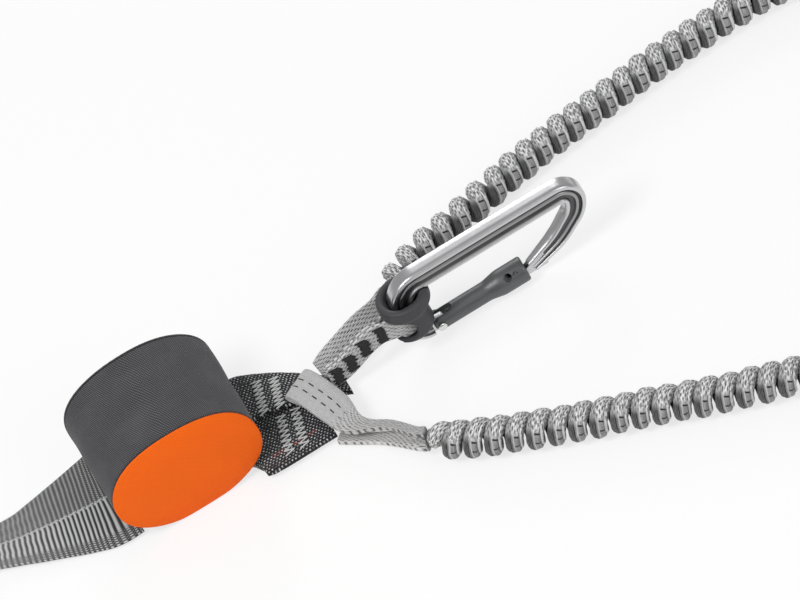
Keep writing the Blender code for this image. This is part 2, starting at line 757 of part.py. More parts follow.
def loop_point(angle, half_length, half_height):
    """A point of the rounded oblong that a strap's end loop follows round a bar."""
    power = 2 / LOOP_POWER_SHARE
    c, s = math.cos(angle), math.sin(angle)
    return half_length * math.copysign(abs(c) ** power, c), half_height * math.copysign(abs(s) ** power, s)


def blend(a, b, share):
    return Vector(a) * (1 - share) + Vector(b) * share


def make_junction():
    """The grey webbing folded over the upper leg, its run to the lower arm, and the tail under it."""
    top = LEG_UPPER_LEVEL + LEG_THICKNESS / 2
    fold = Vector((JUNCTION_X, JUNCTION_Y, top + GAP + ARM_WEBBING * 1.8))
    across = Vector((0.855, 0.52, 0))
    along = Vector((0.52, -0.855, 0))
    under = Vector((0, 0, -ARM_WEBBING - GAP * 2))
    end = Vector((*LOWER_ROUTE[0], ARM_AXIS_HEIGHT))
    heading = Vector((*LOWER_ROUTE[1], ARM_AXIS_HEIGHT)) - end
    heading.normalize()
    stop = end - heading * GAP
    lift = Vector((0, 0, LEG_FOLDED_THICKNESS / 2 + GAP))
    folded = (LEG_FOLDED_WIDTH, LEG_FOLDED_THICKNESS)
    slanted = (0.7, 0.7, 0)

    def over(ahead, aside, rise):
        """A point of the run, from the fold's place, in shares of the junction's run and its height."""
        return (JUNCTION_X + JUNCTION_RUN * ahead, JUNCTION_Y - JUNCTION_RUN * aside, fold.z * rise)

    stations = [
        (fold + under + along * JUNCTION_RUN * 0.30, across, JUNCTION_WIDTH, ARM_WEBBING),
        (fold + under + along * JUNCTION_RUN * 0.06, across, JUNCTION_WIDTH, ARM_WEBBING),
        (fold + under / 2 - along * ARM_WEBBING * 0.6, across, JUNCTION_WIDTH, ARM_WEBBING),
        (fold + along * JUNCTION_RUN * 0.06, across, JUNCTION_WIDTH, ARM_WEBBING),
        (over(0.125, 0.290, 0.95), (0.92, 0.36, 0), JUNCTION_WIDTH, ARM_WEBBING),
        (over(0.232, 0.620, 0.82), (0.96, 0.20, 0), JUNCTION_WIDTH * 0.97, ARM_WEBBING),
        (over(0.290, 0.900, 0.72), (0.90, 0.40, 0), JUNCTION_WIDTH * 0.78, ARM_WEBBING * 1.2),
        (over(0.380, 1.085, 0.72), (0.75, 0.65, 0), JUNCTION_WIDTH * 0.56, ARM_WEBBING * 1.5),
        (over(0.530, 1.290, 0.77), slanted, JUNCTION_WIDTH * 0.42, LEG_FOLDED_THICKNESS),
        (over(0.750, 1.510, 0.83), slanted, JUNCTION_WIDTH * 0.38, LEG_FOLDED_THICKNESS),
    ]
    for back in (0.5, 0.1, 0):
        centre = stop + lift - heading * LEG_FOLDED_WIDTH * back
        stations.append((centre, slanted, folded[0] * 0.75, folded[1]))
    strap("junction_strap", smoothed(stations, 2), ARM_FABRIC)
    tail_level = JUNCTION_TAIL_LEVEL / fold.z
    slim = LEG_FOLDED_THICKNESS * 0.8
    lower_run = [
        (over(0.100, 0.935, tail_level), slanted, LEG_FOLDED_WIDTH * 0.55, slim),
        (over(0.290, 1.110, tail_level * 1.08), slanted, LEG_FOLDED_WIDTH * 0.55, slim),
        (over(0.510, 1.300, tail_level * 1.25), slanted, LEG_FOLDED_WIDTH * 0.62, slim),
        (over(0.722, 1.520, tail_level * 1.60), slanted, LEG_FOLDED_WIDTH * 0.80, slim * 1.1),
    ]
    for back in (0.5, 0.1, 0):
        lower_run.append((stop - lift - heading * LEG_FOLDED_WIDTH * back, slanted, *folded))
    strap("lower_arm_tail", smoothed(lower_run, 2), ARM_FABRIC)
    make_upper_strap()


def make_upper_strap():
    """The upper arm's webbing, from beside the junction's fold to the coil, its width leaning on edge."""
    start, sag = Vector(UPPER_STRAP_START), Vector(UPPER_STRAP_SAG)
    end = Vector((*UPPER_ROUTE[0], ARM_AXIS_HEIGHT))
    heading = Vector((UPPER_ROUTE[1][0] - end.x, UPPER_ROUTE[1][1] - end.y, 0)).normalized()
    stop = end - heading * GAP
    stations = [
        (start, (-0.20, 0.85, 0.45), JUNCTION_WIDTH * 0.55, ARM_WEBBING),
        (blend(start, stop, 0.13) + sag * 0.45, (-0.30, 0.75, 0.58), JUNCTION_WIDTH * 0.78, ARM_WEBBING),
        (blend(start, stop, 0.33) + sag, (-0.35, 0.66, 0.66), JUNCTION_WIDTH * 0.92, ARM_WEBBING),
        (blend(start, stop, 0.60) + sag, (-0.35, 0.66, 0.66), JUNCTION_WIDTH * 0.92, ARM_WEBBING * 1.2),
        (
            stop - heading * LEG_FOLDED_WIDTH + sag * 0.3,
            (-0.3, 0.6, 0.75),
            JUNCTION_WIDTH * 0.78,
            ARM_WEBBING * 1.6,
        ),
        (stop - heading * GAP, (-0.3, 0.5, 0.80), JUNCTION_WIDTH * 0.60, ARM_WEBBING * 2),
    ]
    strap("upper_arm_strap", smoothed(stations, 2), ARM_FABRIC)


def make_arms():
    """The two elastic arms: each one unbroken tube wound round its route."""
    for name, route, pitch, phase_share in (
        ("upper_elastic_arm", UPPER_ROUTE, UPPER_PITCH, UPPER_PHASE_SHARE),
        ("lower_elastic_arm", LOWER_ROUTE, LOWER_PITCH, LOWER_PHASE_SHARE),
    ):
        points, curls = helix_points(route, ARM_AXIS_HEIGHT, pitch, phase_share)
        gap = least_gap(points, TUBE_DIAMETER)
        print(f"{name}: {curls:.1f} curls, least gap {gap * 1000:.2f} mm")
        tube(name, points, TUBE_DIAMETER, ARM_FABRIC)


def swept_frame(name, line, depth, thickness, groove, scales=None):
    """A forged I-section along a flat line in X and Y. Depth lies in the plane, thickness across it."""
    d, t, g = depth / 2, thickness / 2, groove
    edge = t * 0.35
    section = [
        (d, t - edge),
        (d - edge, t),
        (d * 0.55, t),
        (d * 0.40, t - g),
        (-d * 0.40, t - g),
        (-d * 0.55, t),
        (-d + edge, t),
        (-d, t - edge),
    ]
    section += [(-x, -y) for x, y in section]
    profile = bpy.data.curves.new(name + "_section", "CURVE")
    profile.dimensions = "2D"
    spline = profile.splines.new("POLY")
    spline.points.add(len(section) - 1)
    for point, (x, y) in zip(spline.points, section):
        point.co = (x, y, 0, 1)
    spline.use_cyclic_u = True
    holder = bpy.data.objects.new(name + "_section", profile)
    CUTTERS.objects.link(holder)
    holder.hide_render = True
    curve = bpy.data.curves.new(name, "CURVE")
    curve.dimensions = "3D"
    curve.twist_mode = "Z_UP"
    curve.bevel_mode = "OBJECT"
    curve.bevel_object = holder
    curve.use_fill_caps = True
    path = curve.splines.new("POLY")
    path.points.add(len(line) - 1)
    for i, (point, (x, y)) in enumerate(zip(path.points, line)):
        point.co = (x, y, 0, 1)
        point.radius = scales[i] if scales is not None else 1
    obj = bpy.data.objects.new(name, curve)
    PARTS.objects.link(obj)
    return baked(obj)


def end_scales(line, share_at_end, length_share=0.12):
    """The forging's section along its line: full in the middle, drawn down towards both ends."""
    points = np.array(line)
    travelled = np.concatenate([[0], np.cumsum(np.linalg.norm(np.diff(points, axis=0), axis=1))])
    share = travelled / travelled[-1]
    nearest = np.minimum(share, 1 - share) / length_share
    return share_at_end + (1 - share_at_end) * np.clip(nearest, 0, 1) ** 0.7


def make_carabiner(prefix, corners, radii, sizes, placing, bore_end=None):
    """A carabiner in its own plane: hinge pin at the origin, gate along +X, spine towards +Y.
    It makes the frame with its hinge tongue and hooked nose, the slotted tubular gate and both pins."""
    depth, thickness, gate_diameter, head_diameter, reach = sizes
    line = rounded_corners(corners, radii)
    frame = swept_frame(prefix + "_frame", line, depth, thickness, GROOVE_DEPTH, end_scales(line, 0.78))
    tongue_half = TONGUE_THICKNESS / 2
    slot_half = tongue_half + SLOT_CLEARANCE
    gate_radius, head_radius = gate_diameter / 2, head_diameter / 2
    neck = corners[0][0] - gate_radius
    hinge = plate(
        prefix + "_hinge_tongue",
        [
            (neck, -gate_radius * 0.72),
            (gate_radius * 0.45, -gate_radius * 0.72),
            (gate_radius * 0.80, -gate_radius * 0.35),
            (gate_radius * 0.80, gate_radius * 0.35),
            (gate_radius * 0.45, gate_radius * 0.72),
            (neck, gate_radius * 0.72),
        ],
        -tongue_half,
        tongue_half,
    )
    hook = head_radius
    nose_start = corners[-1]
    nose = plate(
        prefix + "_nose_hook",
        [
            (nose_start[0] + hook * 1.2, -hook * 0.55),
            (nose_start[0] + hook * 1.2, hook * 0.85),
            (nose_start[0] - hook * 0.05, hook * 0.30),
            (reach - hook * 0.55, -hook * 0.20),
            (reach - hook * 0.75, -hook * 0.20),
            (reach - hook * 1.00, hook * 0.25),
            (reach - hook * 1.45, hook * 0.25),
            (reach - hook * 1.45, -hook * 0.55),
        ],
        -tongue_half,
        tongue_half,
    )
    hinge_hole = rod(prefix + "_hinge_hole", (0, 0, -thickness), (0, 0, thickness), PIN_HOLE_RADIUS)
    frame = joined(frame, hinge, nose)
    frame = cut(frame, hinge_hole)
    place(shade_round(moved(frame, placing)), SATIN_ALUMINIUM)
    rim = gate_radius * 0.15
    gate = turned(
        prefix + "_gate",
        [
            (0, reach),
            (head_radius - rim, reach),
            (head_radius, reach - rim),
            (head_radius, reach * 0.80),
            (gate_radius, reach * 0.60),
            (gate_radius, gate_radius * 0.20),
            (gate_radius * 0.90, -gate_radius * 0.32),
            (gate_radius * 0.46, -gate_radius * 0.63),
            (0, -gate_radius * 0.63),
        ],
        16,
    )
    moved(gate, Matrix.Rotation(math.pi / 2, 4, "Y"))
    hinge_slot = box(
        prefix + "_hinge_slot",
        (-gate_radius - OVERRUN, -gate_diameter, -slot_half),
        (gate_radius * 1.75, gate_diameter, slot_half),
    )
    nose_slot = box(
        prefix + "_nose_slot",
        (reach - hook * 1.45 - SLOT_CLEARANCE * 2, -head_diameter, -slot_half),
        (reach + OVERRUN, head_radius * 0.62, slot_half),
    )
    nose_way = box(
        prefix + "_nose_way",
        (reach - hook * 0.60, -head_diameter, -slot_half),
        (reach + OVERRUN, head_diameter, slot_half),
    )
    pin_at = (reach - hook * 0.87, -hook * 0.20 + PIN_HOLE_RADIUS)
    pin_holes = [
        rod(prefix + "_pin_way", (0, 0, -head_diameter), (0, 0, head_diameter), PIN_HOLE_RADIUS),
        rod(
            prefix + "_nose_pin_way",
            (pin_at[0], pin_at[1] + hook * 0.42, -head_diameter),
            (pin_at[0], pin_at[1] + hook * 0.42, head_diameter),
            PIN_HOLE_RADIUS,
        ),
    ]
    gate = cut(gate, hinge_slot, nose_slot, nose_way, *pin_holes)
    if bore_end:
        bore = rod(prefix + "_gate_bore", (gate_radius, 0, 0), (bore_end, 0, 0), GATE_BORE / 2, sides=16)
        gate = cut(gate, bore)
    place(shade_round(moved(gate, placing)), DARK_ALUMINIUM)
    under = gate_radius + GAP
    rivet_half = [
        (0, under + PIN_HEAD_HEIGHT),
        (PIN_HEAD_RADIUS * 0.7, under + PIN_HEAD_HEIGHT),
        (PIN_HEAD_RADIUS, under + PIN_HEAD_HEIGHT * 0.5),
        (PIN_HEAD_RADIUS, under),
        (PIN_RADIUS, under),
    ]
    rivet = turned(prefix + "_hinge_pin", rivet_half + [(r, -z) for r, z in reversed(rivet_half)], 12)
    place(shade_round(moved(rivet, placing)), BRIGHT_STEEL)
    inset = head_radius - PIN_HEAD_HEIGHT * 2
    nose_pin = rod(
        prefix + "_nose_pin",
        (pin_at[0], pin_at[1] + hook * 0.42, -inset),
        (pin_at[0], pin_at[1] + hook * 0.42, inset),
        PIN_RADIUS,
    )
    place(shade_round(moved(nose_pin, placing)), DARK_ALUMINIUM)


def rest_placing():
    """The rest carabiner stands on its gate side: its plane is X and Z, its spine up."""
    turn = Matrix.Rotation(math.pi / 2, 4, "X")
    return Matrix.Translation((REST_PIN_X, REST_PLANE_Y, REST_PIN_HEIGHT)) @ turn


def rest_outline():
    """Corners of the rest frame's centre line, in shares of its length and width, and its bend radii."""
    length, width = REST_LENGTH, REST_WIDTH
    corners_shares = [
        (-0.042, 0.0),
        (-0.117, 0.0),
        (-0.117, 0.890),
        (0.880, 0.875),
        (0.850, 0.50),
        (0.700, 0.185),
        (0.522, -0.02),
    ]
    radii_shares = [0.195, 0.34, 0.18, 0.42, 1.20]
    corners = [(length * a, width * b) for a, b in corners_shares]
    return corners, [width * share for share in radii_shares]


def make_rest_carabiner():
    corners, radii = rest_outline()
    section = (REST_SECTION_DEPTH, REST_SECTION_THICKNESS)
    sizes = (*section, REST_GATE_DIAMETER, REST_HEAD_DIAMETER, REST_GATE_REACH)
    placing = rest_placing()
    bore_end = REST_GATE_DIAMETER * 0.8 + SPRING_LENGTH
    make_carabiner("rest", corners, radii, sizes, placing, bore_end)
    start = REST_GATE_DIAMETER * 0.8 + SPRING_WIRE
    steps = SPRING_CURLS * POINTS_A_CURL
    run = SPRING_LENGTH - SPRING_WIRE * 3
    points = [
        (
            start + run * i / steps,
            (SPRING_DIAMETER - SPRING_WIRE) / 2 * math.cos(2 * math.pi * i / POINTS_A_CURL),
            (SPRING_DIAMETER - SPRING_WIRE) / 2 * math.sin(2 * math.pi * i / POINTS_A_CURL),
        )
        for i in range(steps + 1)
    ]
    gap = least_gap(np.array(points), SPRING_WIRE)
    print(f"rest_gate_spring: {SPRING_CURLS} curls, least gap {gap * 1000:.2f} mm")
    world = [placing @ Vector(point) for point in points]
    tube("rest_gate_spring", world, SPRING_WIRE, BRIGHT_STEEL, resolution=0)
    return placing


def make_rest_strap():
    """The short arm: one band doubled and sewn, whose end loop goes round the carabiner's small end."""
    bar_x = REST_PIN_X - REST_LENGTH * 0.117
    y = REST_PLANE_Y
    apart = (REST_STRAP_THICKNESS + GAP) / 2
    clear = GAP * 2 + REST_STRAP_THICKNESS / 2
    radius = REST_SECTION_DEPTH / 2 + clear
    half_width = REST_SECTION_THICKNESS / 2 + clear
    line = [(REST_STRAP_START_X, y - apart), (bar_x - radius * 2.0, y - apart)]
    steps = 10
    opening = math.radians(25)
    for i in range(steps + 1):
        angle = -math.pi + opening + (2 * math.pi - 2 * opening) * i / steps
        along, aside = loop_point(angle, radius, half_width)
        line.append((bar_x + along, y + aside))
    line += [(bar_x - radius * 2.0, y + apart), (REST_STRAP_START_X, y + apart)]
    low = REST_STRAP_LEVEL
    stations = []
    for x, side in line:
        share = min(1, max(0, (x - REST_STRAP_START_X) / (bar_x - radius - REST_STRAP_START_X)))
        stations.append(
            ((x, side, low + REST_STRAP_RISE * share), (0, 0, 1), REST_STRAP_WIDTH, REST_STRAP_THICKNESS)
        )
    strap("rest_arm_strap", stations, ARM_FABRIC, edge_share=0.3)
    run = bar_x - radius * 2.0 - REST_STRAP_START_X
    for i, share in enumerate(REST_BARTACK_SHARES):
        x = REST_STRAP_START_X + run * share
        middle = low + REST_STRAP_RISE * (x - REST_STRAP_START_X) / (bar_x - radius - REST_STRAP_START_X)
        face = y - apart - REST_STRAP_THICKNESS / 2 - GAP - BARTACK_THREAD
        line = [
            (
                x + BARTACK_WIDTH / 2 * (1 if k % 2 else -1),
                face,
                middle + REST_STRAP_WIDTH * (0.76 * k / (2 * BARTACK_ZIGZAGS) - 0.38),
            )
            for k in range(2 * BARTACK_ZIGZAGS + 1)
        ]
        tube(f"rest_bartack_{i + 1}", line, BARTACK_THREAD * 2, BLACK_THREAD, resolution=0)
    return bar_x, low + REST_STRAP_RISE, radius + REST_STRAP_THICKNESS


def make_rest_keeper(bar_x, strap_middle, loop_reach):
    """The moulded rubber keeper: an oval cup round the strap's loop, with a flared collar round the frame."""
    wide = loop_reach + GAP
    outer = wide + KEEPER_WALL
    low = strap_middle - KEEPER_HEIGHT / 2
    high = strap_middle + KEEPER_HEIGHT / 2
    rings = [
        (low, outer * 0.80),
        (low + KEEPER_WALL, outer),
        (high, outer),
        (high + KEEPER_COLLAR_HEIGHT * 0.25, outer + KEEPER_COLLAR_OVERHANG),
        (high + KEEPER_COLLAR_HEIGHT * 0.75, outer + KEEPER_COLLAR_OVERHANG),
        (high + KEEPER_COLLAR_HEIGHT, outer + KEEPER_COLLAR_OVERHANG * 0.4),
    ]
    profile = [(0, high + KEEPER_COLLAR_HEIGHT)] + [(r, z) for z, r in reversed(rings)] + [(0, low)]
    keeper = turned("rest_keeper", profile, 22)
    moved(keeper, Matrix.Translation((bar_x, REST_PLANE_Y, 0)))
    cavity_low = strap_middle - REST_STRAP_WIDTH / 2 - GAP
    cavity_high = strap_middle + REST_STRAP_WIDTH / 2 + GAP
    axis = (bar_x, REST_PLANE_Y)
    cavity = rod("keeper_cavity", (*axis, cavity_low), (*axis, cavity_high), wide, sides=20)
    flare = wide * 0.8
    mouth = box(
        "keeper_mouth",
        (bar_x - outer - OVERRUN, REST_PLANE_Y - flare, cavity_low - REST_STRAP_WIDTH * 0.1),
        (bar_x, REST_PLANE_Y + flare, cavity_high - GAP),
    )
    return keeper, [mouth, cavity]


def turned(name, profile, steps):
    """A profile of (radius, height) from top to bottom, turned round Z with a Screw modifier."""
    mesh = bpy.data.meshes.new(name)
    mesh.from_pydata([(r, 0, z) for r, z in profile], [(i, i + 1) for i in range(len(profile) - 1)], [])
    obj = bpy.data.objects.new(name, mesh)
    PARTS.objects.link(obj)
    screw = obj.modifiers.new("turn", "SCREW")
    screw.steps = steps
    screw.render_steps = steps
    screw.use_merge_vertices = True
    screw.merge_threshold = MERGE
    return baked(obj)


def make_keeper_on_frame(placing):
    """The keeper's seat on the frame: a smooth-sided copy of its small end, cut away with clearance."""
    keeper, cutters = make_rest_keeper(*make_rest_strap())
    corners, radii = rest_outline()
    line = rounded_corners(corners[1:4], radii[1:2])
    clear = 2 * (GAP + GAP)
    way = swept_frame(
        "keeper_frame_way", line, REST_SECTION_DEPTH + clear, REST_SECTION_THICKNESS + clear, 0
    )
    place(shade_round(cut(keeper, *cutters, moved(way, placing))), BLACK_RUBBER)


def locker_outline():
    """Corners of the locking connector's centre line, in shares of its length and width, and bend radii."""
    length, width = LOCKER_LENGTH, LOCKER_WIDTH
    corners_shares = [
        (-0.038, 0.0),
        (-0.175, 0.02),
        (-0.185, 0.46),
        (0.66, 0.94),
        (0.775, 0.46),
        (0.556, 0.02),
    ]
    radii_shares = [0.12, 0.15, 0.32, 0.30]
    corners = [(length * a, width * b) for a, b in corners_shares]
    return corners, [width * share for share in radii_shares]


def make_locker(prefix, route):
    """A large locking connector past the end of an arm, with its end strap, keeper and palm lever."""
    end = Vector((*route[-1], 0))
    heading = (end - Vector((*route[-2], 0))).normalized()
    corners, radii = locker_outline()
    eye_x = LOCKER_LENGTH * 0.180
    eye_y = LOCKER_WIDTH * 0.24
    level = LOCKER_LEVEL
    eye_reach = CONNECTOR_STRAP_LENGTH + eye_x
    origin = end + heading * eye_reach
    turn = Matrix.Rotation(math.atan2(heading.y, heading.x), 4, "Z")
    offset = Matrix.Translation((0, -eye_y, 0))
    placing = Matrix.Translation((origin.x, origin.y, level)) @ turn @ offset
    sizes = (
        LOCKER_SECTION_DEPTH,
        LOCKER_SECTION_THICKNESS,
        LOCKER_GATE_DIAMETER,
        LOCKER_HEAD_DIAMETER,
        LOCKER_GATE_REACH,
    )
    make_carabiner(prefix, corners, radii, sizes, placing)
    make_palm_lever(prefix, corners, placing)
    make_end_strap(prefix, end, heading)


def make_palm_lever(prefix, corners, placing):
    """A lever along the outside of the spine, on a pin through the spine, pressed towards it by the palm."""
    a, b = Vector(corners[2]), Vector(corners[3])
    along = (b - a).normalized()
    outward = Vector((-along.y, along.x))
    pivot = a + (b - a) * 0.80
    inner = LOCKER_SECTION_DEPTH / 2 + GAP * 3
    gap = inner + LEVER_TRAVEL_GAP
    thick = LEVER_THICKNESS

    def at(back, out):
        return tuple(pivot - along * back + outward * out)

    half = LOCKER_SECTION_THICKNESS / 2
    clear = GAP * 2
    bar = plate(
        prefix + "_lever",
        [
            at(-thick * 0.6, inner),
            at(-thick * 0.6, inner + thick * 0.4),
            at(thick * 0.4, inner + thick),
            at(LEVER_LENGTH * 0.5, gap + thick * 1.1),
            at(LEVER_LENGTH * 0.9, gap + thick * 0.8),
            at(LEVER_LENGTH, gap + thick * 0.2),
            at(LEVER_LENGTH * 0.98, gap),
            at(LEVER_LENGTH * 0.5, inner + LEVER_TRAVEL_GAP * 0.6),
            at(thick, inner),
        ],
        -half,
        half,
    )
    fork_half = half + clear + LEVER_EAR
    fork = plate(
        prefix + "_lever_fork",
        [
            at(-thick * 0.75, inner + thick * 0.30),
            at(-thick * 0.50, -thick * 0.3),
            at(0, -thick * 0.6),
            at(thick * 0.50, -thick * 0.3),
            at(thick * 1.2, inner + thick * 0.45),
            at(thick * 0.3, inner + thick * 0.75),
        ],
        -fork_half,
        fork_half,
    )
    spine_slot = plate(
        prefix + "_lever_slot",
        [
            at(-thick * 2, -thick),
            at(thick * 2, -thick),
            at(thick * 2, inner * 0.98),
            at(-thick * 2, inner * 0.98),
        ],
        -half - clear,
        half + clear,
    )
    lever = joined(bar, cut(fork, spine_slot))
    through = ((*pivot, -LOCKER_LENGTH), (*pivot, LOCKER_LENGTH))
    hole = rod(prefix + "_lever_hole", *through, PIN_HOLE_RADIUS)
    lever = cut(lever, hole)
    place(shade_round(moved(lever, placing)), BLACK_RUBBER)
    reach = half + clear + LEVER_EAR
    pin = rod(prefix + "_lever_pin", (*pivot, -reach), (*pivot, reach), PIN_RADIUS)
    place(shade_round(moved(pin, placing)), BRIGHT_STEEL)
    frame = bpy.data.objects[prefix + "_frame"]
    way = rod(prefix + "_spine_hole", *through, PIN_HOLE_RADIUS)
    place(shade_round(cut(frame, moved(way, placing))), SATIN_ALUMINIUM)


def make_end_strap(prefix, end, heading):
    """The sewn end loop between the coil and the connector's eye, with a rubber band round its neck."""
    side = Vector((-heading.y, heading.x, 0))
    level = LOCKER_LEVEL
    start = end + heading * GAP
    apart = (CONNECTOR_STRAP_THICKNESS + GAP) / 2
    clear = GAP * 2 + CONNECTOR_STRAP_THICKNESS / 2
    half_length = LOCKER_SECTION_DEPTH / 2 + clear
    half_height = LOCKER_SECTION_THICKNESS / 2 + clear
    span = CONNECTOR_STRAP_LENGTH

    def at(along, up):
        return start + heading * along + Vector((0, 0, level + up))

    line = [(0, -apart), (span - half_length * 2.2, -apart)]
    steps = 10
    opening = math.radians(25)
    for i in range(steps + 1):
        angle = -math.pi + opening + (2 * math.pi - 2 * opening) * i / steps
        along, up = loop_point(angle, half_length, half_height)
        line.append((span + along, up))
    line += [(span - half_length * 2.2, apart), (0, apart)]
    stations = [
        (at(along, up), side, CONNECTOR_STRAP_WIDTH, CONNECTOR_STRAP_THICKNESS) for along, up in line
    ]
    strap(prefix + "_end_strap", stations, ARM_FABRIC, edge_share=0.3)
    wide = CONNECTOR_STRAP_WIDTH / 2 + GAP
    tall = CONNECTOR_STRAP_THICKNESS + GAP * 2
    centre = at(span * 0.28, 0)
    keeper = box(
        prefix + "_keeper",
        (-CONNECTOR_KEEPER_LENGTH / 2, -wide - CONNECTOR_KEEPER_WALL, -tall - CONNECTOR_KEEPER_WALL),
        (CONNECTOR_KEEPER_LENGTH / 2, wide + CONNECTOR_KEEPER_WALL, tall + CONNECTOR_KEEPER_WALL),
    )
    way_half = (CONNECTOR_KEEPER_LENGTH, wide, tall)
    way = box(prefix + "_keeper_way", [-reach for reach in way_half], way_half)
    bevel = keeper.modifiers.new("round", "BEVEL")
    bevel.width = CONNECTOR_KEEPER_WALL * 0.45
    bevel.segments = 2
    keeper = cut(baked(keeper), way)
    turn = Matrix.Rotation(math.atan2(heading.y, heading.x), 4, "Z")
    place(moved(keeper, Matrix.Translation(centre) @ turn), BLACK_RUBBER)


clear_scene()
PARTS = new_collection("via_ferrata_lanyard")
CUTTERS = new_collection("cutters", hidden=True)
make_pouch()
make_tear_webbing()
make_zip()
make_harness_strap()
make_absorber_legs()
make_junction()
make_arms()
make_keeper_on_frame(make_rest_carabiner())
make_locker("upper_connector", UPPER_ROUTE)
make_locker("lower_connector", LOWER_ROUTE)
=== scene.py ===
"""The looks of a via ferrata lanyard: a woven pouch, webbing straps, curly elastic arms, forged carabiners.
It is laid out as a Blender add-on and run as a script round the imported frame. Metres, +Z up."""

import math

import bmesh
import bpy
import numpy as np
from bpy.props import FloatProperty, FloatVectorProperty, IntProperty, PointerProperty
from mathutils import Matrix, Vector


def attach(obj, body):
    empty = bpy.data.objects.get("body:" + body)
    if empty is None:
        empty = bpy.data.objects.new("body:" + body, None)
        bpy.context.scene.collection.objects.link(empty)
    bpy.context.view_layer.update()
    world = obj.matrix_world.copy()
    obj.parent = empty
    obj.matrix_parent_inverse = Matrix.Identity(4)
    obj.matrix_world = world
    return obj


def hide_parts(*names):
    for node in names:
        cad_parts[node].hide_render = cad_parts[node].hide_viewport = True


bl_info = {
    "name": "Via Ferrata Lanyard",
    "version": (1, 0, 0),
    "blender": (4, 5, 0),
    "location": "View3D > Sidebar > Lanyard",
    "description": "Builds a via ferrata lanyard around its packed frame",
    "category": "Object",
}

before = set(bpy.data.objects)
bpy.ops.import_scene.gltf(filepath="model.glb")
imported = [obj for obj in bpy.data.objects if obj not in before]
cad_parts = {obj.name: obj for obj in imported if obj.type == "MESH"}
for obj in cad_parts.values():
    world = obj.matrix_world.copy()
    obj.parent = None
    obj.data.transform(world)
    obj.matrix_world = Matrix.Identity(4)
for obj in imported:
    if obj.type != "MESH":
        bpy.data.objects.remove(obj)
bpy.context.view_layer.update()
MM = 0.001
ROOT = "lanyard"
GAP = 0.3 * MM

# Points nearer than WELD are merged, and FAR takes a cutter past any edge. An edge that turns by more than
# these angles in degrees stays sharp.
WELD = 0.002 * MM
FAR = 20 * MM
EDGE_METAL, EDGE_CLOTH, EDGE_RUBBER = 38, 40, 42
BLACK_THREAD = (0.02, 0.02, 0.022)

PICTURE_SCALE = 0.3478
CAMERA_ELEVATION = math.radians(45)
CAMERA_ROLL = math.radians(31.5)
CAMERA_TARGET = (0.1175, -0.0072, 0.024)
CAMERA_DISTANCE = 1.5

LAMP_TARGET = Vector((0.12, -0.02, 0.02))
# Each lamp's name, place, size and power.
LAMPS = (
    ("key", (-0.55, -0.35, 1.15), 0.55, 9.0),
    ("fill", (0.75, -0.95, 0.75), 0.8, 4.0),
    ("rim", (0.35, 1.1, 0.6), 0.5, 3.5),
)
FLOOR_REACH, FLOOR_DEPTH, FLOOR_TOP = 6, -0.02, -0.0002

POUCH_LENGTH = 0.072
POUCH_DEPTH = 0.059
POUCH_HEIGHT = 0.050
POUCH_FLAT = 0.0006
POUCH_POWER = 2.25
POUCH_COLUMNS = 200
POUCH_MIDDLE = POUCH_HEIGHT / 2 - POUCH_FLAT

REST_LENGTH = 0.0900
REST_WIDTH = 0.0335
REST_PIN = (0.1273225, -0.0130, 0.0068)
REST_BAR_X = REST_PIN[0] - REST_LENGTH * 0.117
LOCKER_LENGTH = 0.1220
LOCKER_WIDTH = 0.0620
LOCKER_SPAN = 34 * MM

# Where the arms' axes run on the ground, from the junction to the connectors.
UPPER_ROUTE = [
    (0.1150, 0.0150), (0.1240, 0.0215), (0.1345, 0.0272), (0.1646, 0.0343), (0.1950, 0.0419),
    (0.2383, 0.0479), (0.2635, 0.0507), (0.3040, 0.0530), (0.3400, 0.0500), (0.3750, 0.0425),
    (0.4080, 0.0320), (0.4400, 0.0210), (0.4720, 0.0130), (0.5010, 0.0100), (0.5130, 0.0100),
]
LOWER_ROUTE = [
    (0.0970, -0.0742), (0.1092, -0.0853), (0.1422, -0.1061), (0.1786, -0.1250), (0.2128, -0.1432),
    (0.2386, -0.1555), (0.2700, -0.1682), (0.3050, -0.1775), (0.3420, -0.1826), (0.3800, -0.1845),
    (0.4200, -0.1845), (0.4550, -0.1845), (0.4850, -0.1845),
]
ARM_AXIS_HEIGHT = 0.0091
END_STRAIGHT = 0.0030
COIL_START = 0.0060
END_RUN = 0.0055

# The upper arm: where along it the slim share comes and goes, and the turns it lags by at three places.
SLIM_RUN = (0, 0.01, 0.20, 0.26)
STRETCH = ((0, 0.072, 0.189), (0, -0.744, 0))
GROOVE_ANGLE, RIB_ANGLE, RUFFLE_ANGLE = 0.46, 0.74, -1.1

HARNESS_ROLL = math.radians(12)
HARNESS_LEVEL = 0.0074

# The weaves' pitches, in millimetres.
RIB_PITCH = 2.0
BEAD_PITCH = 1.15
CORD_PITCH = 1.35
FLECK_PITCH = 1.75

LEG_THICKNESS = 3 * MM
LEG_LOWER_LEVEL = 0.0033
LEG_UPPER_LEVEL = 0.0072
REST_STRAP_START = 0.0735225
LOCKER_LEVEL = 0.0082
FINE_STRAP = (0.5 * MM, 22)
STITCH_WIDTH = (4.6 * MM, 0, 0)

# Half of a section, as shares of half its depth, outwards, and of half its thickness.
FORGED_SECTION = (
    (1.00, 0.00), (1.00, 0.70), (0.90, 0.96), (0.80, 1.00), (0.60, 1.00),
    (0.52, 0.70), (0.40, 0.66), (0.30, 0.90), (0.06, 0.92), (-0.04, 0.60),
    (-0.36, 0.56), (-0.50, 0.90), (-0.74, 0.95), (-0.92, 0.66), (-1.00, 0.25),
)
PLAIN_SECTION = ((1.00, 0.00), (1.00, 0.75), (0.80, 1.00), (-0.80, 1.00), (-1.00, 0.75))

